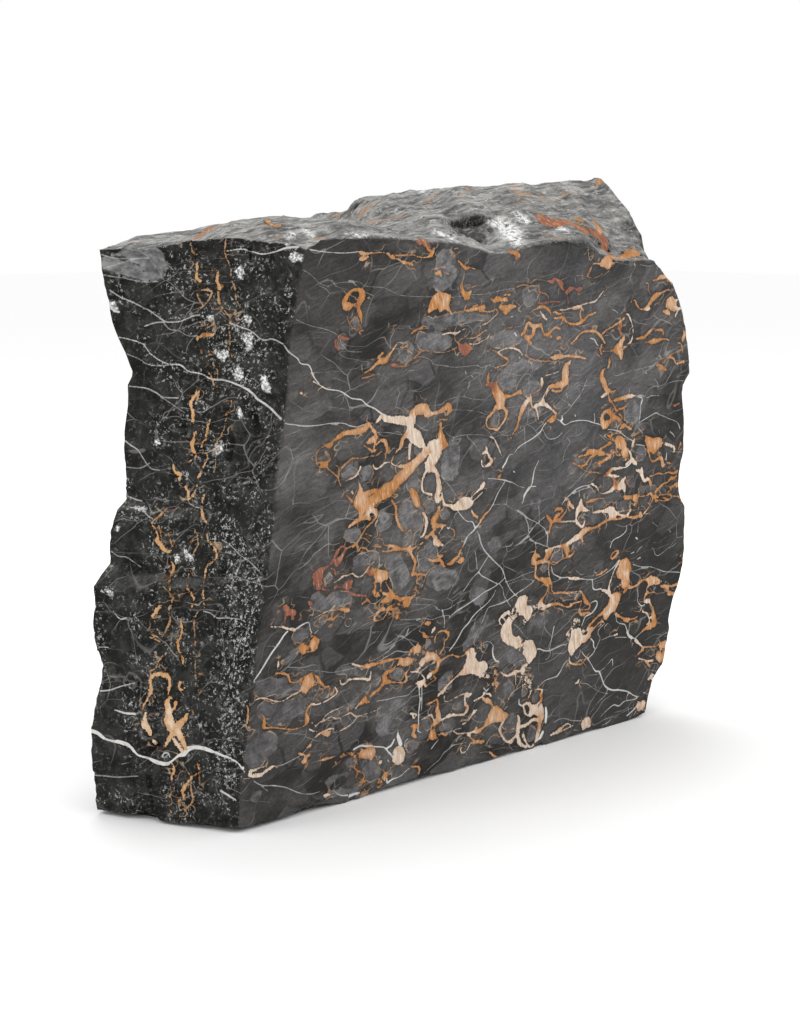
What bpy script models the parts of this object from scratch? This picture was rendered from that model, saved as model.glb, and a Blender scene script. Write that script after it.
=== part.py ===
"""Marble block: a rough quarry block of dark marble, in one piece.

The front (facing -Y) is sawn flat.  The left end, the right end, the top and
the back are broken stone, with ledges, a scoop, a raised back ridge and a
hollow.  The block stands on a flat underside.

The block is lofted front to back: an outline is worked out at each of a row
of depths, and the outlines are joined into one closed skin.  All profiles
are in millimetres.  x runs along the sawn face from its lower left corner, y
is the depth behind the sawn face, and z is the height above the ground.  The
finished mesh is in metres, with its origin at the middle of its underside.
"""
import math

import bmesh
import bpy
from mathutils import Vector, geometry, noise

MM = 0.001
BLOCK_DEPTH = 262.0

# Outline of the sawn face.  Its left arris leans to the right as it rises.
LEFT_ARRIS = (  # (z, x)
    (0, 0), (63, 6), (104, 15), (154, 21), (192, 29), (243, 41), (316, 53),
    (355, 57), (406, 67), (473, 74), (509, 81), (551, 90), (580, 96),
)
RIGHT_ARRIS = (  # (z, x)
    (0, 645), (41, 656), (60, 677), (86, 686), (104, 691), (113, 687),
    (143, 698), (164, 709), (188, 716), (217, 715), (249, 716), (271, 701),
    (297, 702), (316, 711), (358, 710), (384, 705), (401, 706), (416, 720),
    (433, 717), (476, 707), (512, 690), (528, 678), (537, 661), (550, 647),
)
SAWN_TOP = (  # (x, z), low under the shell-shaped scoop between x 440 and 560
    (94, 572), (117, 583), (184, 582), (234, 581), (268, 576), (314, 575),
    (338, 568), (364, 562), (393, 563), (416, 566), (439, 568), (470, 570),
    (505, 568), (533, 562), (558, 556), (578, 551), (647, 550),
)
SAWN_FOOT = (  # (x, z), the chipped lower edge
    (0, 6), (54, 4), (76, 5), (87, 12), (117, 6), (143, 0), (161, 0),
    (175, 3), (194, 4), (227, 5), (280, 5), (309, 1), (336, 4), (364, 1),
    (407, 5), (428, 1), (454, 0), (547, 4), (563, 0), (622, 1), (647, 5),
)
FOOT_CHIP_DEPTH = 8.0

# Left end: from the left arris back to its own rear edge, which is stepped.
LEFT_REAR_DEPTH = 152.0
LEFT_REAR_EDGE = (  # (z, x)
    (0, -59), (41, -65), (90, -65), (113, -59), (150, -53), (163, -58),
    (182, -62), (236, -59), (246, -53), (252, -38), (292, -36), (311, -26),
    (318, -14), (375, -18), (421, -12), (438, -12), (447, -3), (467, -11),
    (494, -25), (526, -36), (555, -42), (580, -46),
)
# How far the rear of the left end has come in at each depth behind that, where
# its steps fade towards a plain face.
LEFT_BACK_TAPER = ((152, 0), (172, 24), (195, 50), (220, 72), (245, 90), (262, 106))
LEFT_BACK_X = -32.0
LEFT_BACK_FADE = 0.8
LEFT_BULGE = 4.0

# Right end: how far it stands in from the right arris at each depth.
RIGHT_BACK_TAPER = ((0, 0), (60, 5), (152, 8), (195, 12), (236, 20), (262, 34))
RIGHT_SMOOTH_X = 704.0
# Its top edge climbs steeply from the sawn face to the back ridge.
RIGHT_TOP_EDGE = (  # (y, z)
    (0, 550), (15, 556), (32, 567), (48, 585), (60, 605), (70, 617),
    (85, 632), (100, 642), (152, 640), (195, 626), (262, 590),
)
RIGHT_SHOULDER = (  # (drop below that edge, x)
    (0, 677), (17, 687), (40, 695), (65, 700), (110, 704),
)
SHOULDER_DROP = 110.0

# The lower edges of the two ends are chipped too.
LEFT_FOOT = ((0, 6), (40, 6), (62, 3), (76, 1), (90, 9), (108, 8), (130, 5), (262, 4))
RIGHT_FOOT_RISE = 5.0
END_CHIP_WIDTH = 16.0

# Top of the block, as profiles (x, z) at increasing depth.
TOP_PROFILES = (
    (4, ((94, 577), (184, 587), (268, 582), (314, 580), (340, 573),
         (380, 566), (416, 571), (439, 575), (470, 579), (505, 578),
         (533, 570), (558, 562), (578, 556), (650, 552))),
    (12, ((80, 581), (184, 590), (300, 586), (345, 577), (395, 571),
          (439, 582), (470, 588), (505, 590), (533, 583), (558, 573),
          (590, 565), (656, 555))),
    (25, ((60, 583), (117, 590), (184, 594), (300, 590), (350, 582),
          (395, 577), (439, 589), (490, 596), (533, 594), (558, 587),
          (590, 579), (625, 569), (666, 562))),
    (42, ((50, 587), (120, 597), (230, 598), (330, 592), (345, 585),
          (395, 582), (430, 594), (490, 602), (560, 602), (600, 595),
          (640, 585), (675, 578))),
    (60, ((40, 586), (90, 597), (172, 602), (300, 600), (345, 603),
          (420, 607), (480, 608), (560, 611), (590, 611), (640, 607),
          (676, 605))),
    (80, ((20, 587), (100, 597), (240, 600), (330, 604), (400, 612),
          (460, 614), (500, 622), (600, 626), (680, 627))),
    (100, ((0, 584), (92, 595), (209, 600), (290, 603), (350, 614),
           (400, 622), (436, 628), (520, 633), (600, 637), (678, 642))),
    (128, ((-25, 578), (100, 595), (240, 601), (288, 603), (300, 614),
           (330, 619), (436, 629), (520, 634), (678, 641))),
    (152, ((-45, 575), (13, 582), (79, 590), (134, 595), (255, 601),
           (288, 604), (298, 617), (313, 622), (489, 632), (678, 640))),
    (195, ((0, 579), (60, 590), (120, 598), (290, 604), (310, 616),
           (489, 628), (600, 630), (680, 626))),
    (262, ((50, 566), (120, 582), (300, 592), (340, 600), (489, 606),
           (600, 604), (650, 588))),
)

# Spacing of the skin: the depths of the outlines and the points on each side.
STATION_DEPTHS = (
    0, 4, 12, 25, 42, 60, 80, 100, 114, 128, 140, 152, 172, 195, 220, 245, 262,
)
LEFT_POINTS = 54
TOP_POINTS = 54
RIGHT_POINTS = 40
FOOT_POINTS = 40
FILL_GRID = 38.0
BACK_GRID = 17.0

# Broken relief, in millimetres.  The beds lie parallel to the sawn face, so
# scallops are long in x and z, and steps follow the depth y.
BED_STRETCH = Vector((0.55, 1.0, 0.55))
SCALLOP_SIZE = 58.0
SCALLOP_HEIGHT = 5.0
SMALL_SCALLOP_SIZE = 23.0
SMALL_SCALLOP_HEIGHT = 2.4
CREST_LEVEL = 0.65
BED_SPACING = 21.0
BED_STEP = 1.4
TERRACE_SIZE = 150.0
TERRACE_HEIGHT = 6.0
TERRACES_PER_UNIT = 4.0
LEFT_END_SHARE = 0.55
RELIEF_START_DEPTH = 22.0
RELIEF_START_HEIGHT = 22.0

# Hollows pushed into the skin: (x, y, z), radius and depth, all in mm.
PITS = (
    ((385, 46, 594), 34, 12),
    ((300, 145, 612), 20, 9),
    ((150, 75, 604), 30, 4),
    ((560, 75, 616), 36, 5),
    ((-32, 126, 528), 40, 4),
    ((-34, 100, 8), 18, 7),
    ((706, 120, 330), 60, 14),
    ((704, 180, 150), 70, 12),
    ((300, 262, 420), 90, 8),
    ((560, 262, 180), 120, 10),
    ((672, 262, 500), 46, 18),
    ((670, 262, 90), 40, 16),
    ((60, 262, 240), 40, 12),
)

MARBLE_COLOUR = (0.055, 0.056, 0.058, 1.0)
MARBLE_ROUGHNESS = 0.62


def read_profile(profile, key):
    """Value of a profile of (key, value) points at key, held level past its ends."""
    if key <= profile[0][0]:
        return profile[0][1]
    for (key_a, value_a), (key_b, value_b) in zip(profile, profile[1:]):
        if key <= key_b:
            share = (key - key_a) / (key_b - key_a)
            return value_a + (value_b - value_a) * share
    return profile[-1][1]


def ease(value, start, end):
    """0 before start, 1 after end, and a smooth rise between."""
    share = min(max((value - start) / (end - start), 0.0), 1.0)
    return share * share * (3.0 - 2.0 * share)


def left_x(y, z):
    """x of the left end at depth y and height z."""
    arris = read_profile(LEFT_ARRIS, z)
    rear = read_profile(LEFT_REAR_EDGE, z)
    if y >= LEFT_REAR_DEPTH:
        fade = LEFT_BACK_FADE * ease(y, LEFT_REAR_DEPTH, BLOCK_DEPTH - 50)
        rear += (LEFT_BACK_X - rear) * fade
        return rear + read_profile(LEFT_BACK_TAPER, y)
    share = y / LEFT_REAR_DEPTH
    bulge = LEFT_BULGE * math.sin(math.pi * share)
    return arris + (rear - arris) * share - bulge


def right_x(y, z):
    """x of the right end at depth y and height z."""
    arris = read_profile(RIGHT_ARRIS, z)
    plain = arris + (RIGHT_SMOOTH_X - arris) * ease(y, 10, 120)
    drop = read_profile(RIGHT_TOP_EDGE, y) - z
    shoulder = read_profile(RIGHT_SHOULDER, drop)
    near_top = 1.0 - ease(drop, 0.5 * SHOULDER_DROP, SHOULDER_DROP)
    x = plain + (shoulder - plain) * near_top * ease(y, 0, 45)
    return x - read_profile(RIGHT_BACK_TAPER, y)


def top_z(x, y):
    """Height of the top at x and depth y."""
    rows = ((0, SAWN_TOP),) + TOP_PROFILES
    heights = tuple((depth, read_profile(profile, x)) for depth, profile in rows)
    return read_profile(heights, y)


def foot_z(x, y):
    """Height of the lower edge, which is chipped along the sawn face and both ends."""
    front = read_profile(SAWN_FOOT, x) * max(0.0, 1.0 - y / FOOT_CHIP_DEPTH)
    from_left = (x - left_x(y, 0)) / END_CHIP_WIDTH
    left = read_profile(LEFT_FOOT, y) * max(0.0, 1.0 - from_left)
    from_right = (right_x(y, 0) - x) / END_CHIP_WIDTH
    right = RIGHT_FOOT_RISE * max(0.0, 1.0 - from_right)
    return max(front, left, right)


def top_corner(side_x, y):
    """Corner (x, z) where an end meets the top at depth y."""
    z = 580.0
    for _ in range(8):
        x = side_x(y, z)
        z = 0.5 * (z + top_z(x, y))
    return x, z


def outline(y):
    """Points of the block's outline at depth y, from the lower left, clockwise."""
    left_top_x, left_top_z = top_corner(left_x, y)
    right_top_x, right_top_z = top_corner(right_x, y)
    left_foot_x, right_foot_x = left_x(y, 0), right_x(y, 0)
    left_foot_z = foot_z(left_foot_x, y)
    right_foot_z = foot_z(right_foot_x, y)
    points = []
    for i in range(LEFT_POINTS):
        z = left_foot_z + (left_top_z - left_foot_z) * i / LEFT_POINTS
        points.append(Vector((left_x(y, z), y, z)))
    for i in range(TOP_POINTS):
        x = left_top_x + (right_top_x - left_top_x) * i / TOP_POINTS
        points.append(Vector((x, y, left_top_z if i == 0 else top_z(x, y))))
    for i in range(RIGHT_POINTS):
        z = right_top_z + (right_foot_z - right_top_z) * i / RIGHT_POINTS
        points.append(Vector((right_x(y, z), y, z)))
    for i in range(FOOT_POINTS):
        x = right_foot_x + (left_foot_x - right_foot_x) * i / FOOT_POINTS
        points.append(Vector((x, y, foot_z(x, y))))
    return points


def scallops(point, size):
    """Concave scoops with sharp crests between them, from about -1 to 1."""
    place = Vector((p * stretch for p, stretch in zip(point, BED_STRETCH))) / size
    return 1.0 - 3.2 * abs(noise.noise(place))


def bed_steps(point):
    """Steps between beds, each bed set back a little from the next."""
    wander = 6.0 * noise.noise(Vector((point.x, 0, point.z)) / 90.0)
    bed = math.floor((point.y + wander) / BED_SPACING)
    return noise.cell(Vector((bed, 3.0, 8.0))) - 0.5


def terraces(point):
    """How far the back is set in, where it split along one bed and then another."""
    wave = TERRACES_PER_UNIT * noise.noise(Vector((point.x, 7.0, point.z)) / TERRACE_SIZE)
    level = math.floor(wave)
    rise = level + ease(wave - level, 0.75, 1.0) - 1.0
    return TERRACE_HEIGHT * min(rise, 0.0)


def relief(point, normal):
    """How far the broken skin stands proud of its smooth shape at a point."""
    start = ease(point.y, 0.5, RELIEF_START_DEPTH) * ease(point.z, 0.5, RELIEF_START_HEIGHT)
    on_back = ease(normal.y, 0.75, 1.0)
    share = 1.0 + (LEFT_END_SHARE - 1.0) * max(0.0, -normal.x)
    height = SCALLOP_HEIGHT * (scallops(point, SCALLOP_SIZE) - CREST_LEVEL)
    height += SMALL_SCALLOP_HEIGHT * (scallops(point, SMALL_SCALLOP_SIZE) - CREST_LEVEL)
    height += BED_STEP * bed_steps(point) * (1.0 - abs(normal.y))
    return start * (share * height + on_back * terraces(point))


def pit_depth(point):
    """How far the hollows push the skin in at a point."""
    depth = 0.0
    for centre, radius, deepest in PITS:
        distance = (point - Vector(centre)).length / radius
        depth += deepest * (1.0 - ease(distance, 0.25, 1.0))
    return depth


def join_rings(mesh, ring, other):
    """Join two outlines of the same number of points with a band of faces."""
    count = len(ring)
    for i in range(count):
        j = (i + 1) % count
        mesh.faces.new((ring[i], ring[j], other[j], other[i]))


def add_sides(mesh):
    """Loft the outlines from front to back; returns the first and last rings."""
    first = None
    ring = None
    for depth in STATION_DEPTHS:
        new_ring = [mesh.verts.new(point) for point in outline(depth)]
        if ring is None:
            first = new_ring
        else:
            join_rings(mesh, ring, new_ring)
        ring = new_ring
    return first, ring


def grid_points(y, spacing):
    """Evenly spaced points (x, z) inside the outline at depth y, clear of its edge."""
    margin = spacing * 0.6
    points = []
    for row in range(1, int(640 / spacing)):
        for column in range(-2, int(740 / spacing)):
            x = (column + 0.5 * (row % 2)) * spacing
            z = row * spacing
            inside_x = left_x(y, z) + margin < x < right_x(y, z) - margin
            if inside_x and z < top_z(x, y) - margin:
                points.append(Vector((x, z)))
    return points


def fill_outline(mesh, ring, spacing):
    """Fill the first or last outline with even triangles."""
    y = ring[0].co.y
    corners = [Vector((vert.co.x, vert.co.z)) for vert in ring]
    count = len(corners)
    edges = [(i, (i + 1) % count) for i in range(count)]
    filled = geometry.delaunay_2d_cdt(corners + grid_points(y, spacing), edges, [], 1, 1e-6)
    points, triangles, sources = filled[0], filled[2], filled[3]
    verts = []
    for point, source in zip(points, sources):
        on_outline = [i for i in source if i < count]
        new_place = (point.x, y, point.y)
        verts.append(ring[on_outline[0]] if on_outline else mesh.verts.new(new_place))
    for triangle in triangles:
        mesh.faces.new([verts[i] for i in triangle])


def break_skin(mesh):
    """Push the smooth skin out and in, so that all but two faces are broken."""
    mesh.normal_update()
    moves = []
    for vert in mesh.verts:
        move = relief(vert.co, vert.normal) - pit_depth(vert.co)
        moves.append(vert.normal * move)
    for vert, move in zip(mesh.verts, moves):
        held = vert.co.y < 0.1 or vert.co.z < 0.1
        if not held:
            vert.co += move
            vert.co.z = max(vert.co.z, 1.0)


def centre_and_scale(mesh):
    """Put the origin at the middle of the underside, in metres."""
    xs = [vert.co.x for vert in mesh.verts]
    ys = [vert.co.y for vert in mesh.verts]
    middle = Vector(((min(xs) + max(xs)) / 2, (min(ys) + max(ys)) / 2, 0))
    for vert in mesh.verts:
        vert.co = (vert.co - middle) * MM


def make_marble():
    """Material of the whole block."""
    material = bpy.data.materials.new("marble")
    material.use_nodes = True
    shader = material.node_tree.nodes["Principled BSDF"]
    shader.inputs["Base Color"].default_value = MARBLE_COLOUR
    shader.inputs["Roughness"].default_value = MARBLE_ROUGHNESS
    shader.inputs["Metallic"].default_value = 0.0
    return material


def make_marble_block():
    """Build the one piece."""
    mesh = bmesh.new()
    front, back = add_sides(mesh)
    fill_outline(mesh, front, FILL_GRID)
    fill_outline(mesh, back, BACK_GRID)
    bmesh.ops.recalc_face_normals(mesh, faces=mesh.faces[:])
    break_skin(mesh)
    bmesh.ops.triangulate(mesh, faces=mesh.faces[:], quad_method="SHORT_EDGE")
    centre_and_scale(mesh)
    data = bpy.data.meshes.new("marble_block")
    mesh.to_mesh(data)
    mesh.free()
    block = bpy.data.objects.new("marble_block", data)
    bpy.context.scene.collection.objects.link(block)
    block.data.materials.append(make_marble())


def clear_scene():
    for thing in list(bpy.data.objects):
        bpy.data.objects.remove(thing)


clear_scene()
make_marble_block()
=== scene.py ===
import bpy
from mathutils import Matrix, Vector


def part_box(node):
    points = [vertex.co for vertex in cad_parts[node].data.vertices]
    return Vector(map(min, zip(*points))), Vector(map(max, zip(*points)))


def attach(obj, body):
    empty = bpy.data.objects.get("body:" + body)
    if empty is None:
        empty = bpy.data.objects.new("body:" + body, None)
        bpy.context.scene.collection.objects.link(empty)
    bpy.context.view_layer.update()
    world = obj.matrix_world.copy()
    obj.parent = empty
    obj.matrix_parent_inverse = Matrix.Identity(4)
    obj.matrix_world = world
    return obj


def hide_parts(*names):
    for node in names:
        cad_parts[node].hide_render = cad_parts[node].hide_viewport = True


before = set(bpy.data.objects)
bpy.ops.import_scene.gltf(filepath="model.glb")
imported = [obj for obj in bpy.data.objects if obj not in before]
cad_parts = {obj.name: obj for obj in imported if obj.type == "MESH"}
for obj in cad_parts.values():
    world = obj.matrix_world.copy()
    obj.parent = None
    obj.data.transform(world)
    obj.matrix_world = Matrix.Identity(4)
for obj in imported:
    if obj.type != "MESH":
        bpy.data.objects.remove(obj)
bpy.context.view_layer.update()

import copy
import math

import bmesh
import bpy
import numpy as np
from mathutils import Euler, Vector, geometry, noise
from mathutils.bvhtree import BVHTree

# The marble block's shown surface.  It is made from the CAD block's own skin: the broken
# faces are divided finer and roughened, and the sawn face is filled with a mesh whose points
# follow the markings.  Each point carries its distance to the markings, and the material
# turns those distances into seams, veins and patches.

MM = 0.001
NODE = "marble_block"
LOW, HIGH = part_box(NODE)
FACE_Y = LOW.y                      # the sawn plane
TOUCH = 0.01 * MM                   # points nearer than this count as on the plane
SEAT_HEIGHT = 0.5 * MM              # and these as on the ground

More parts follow.
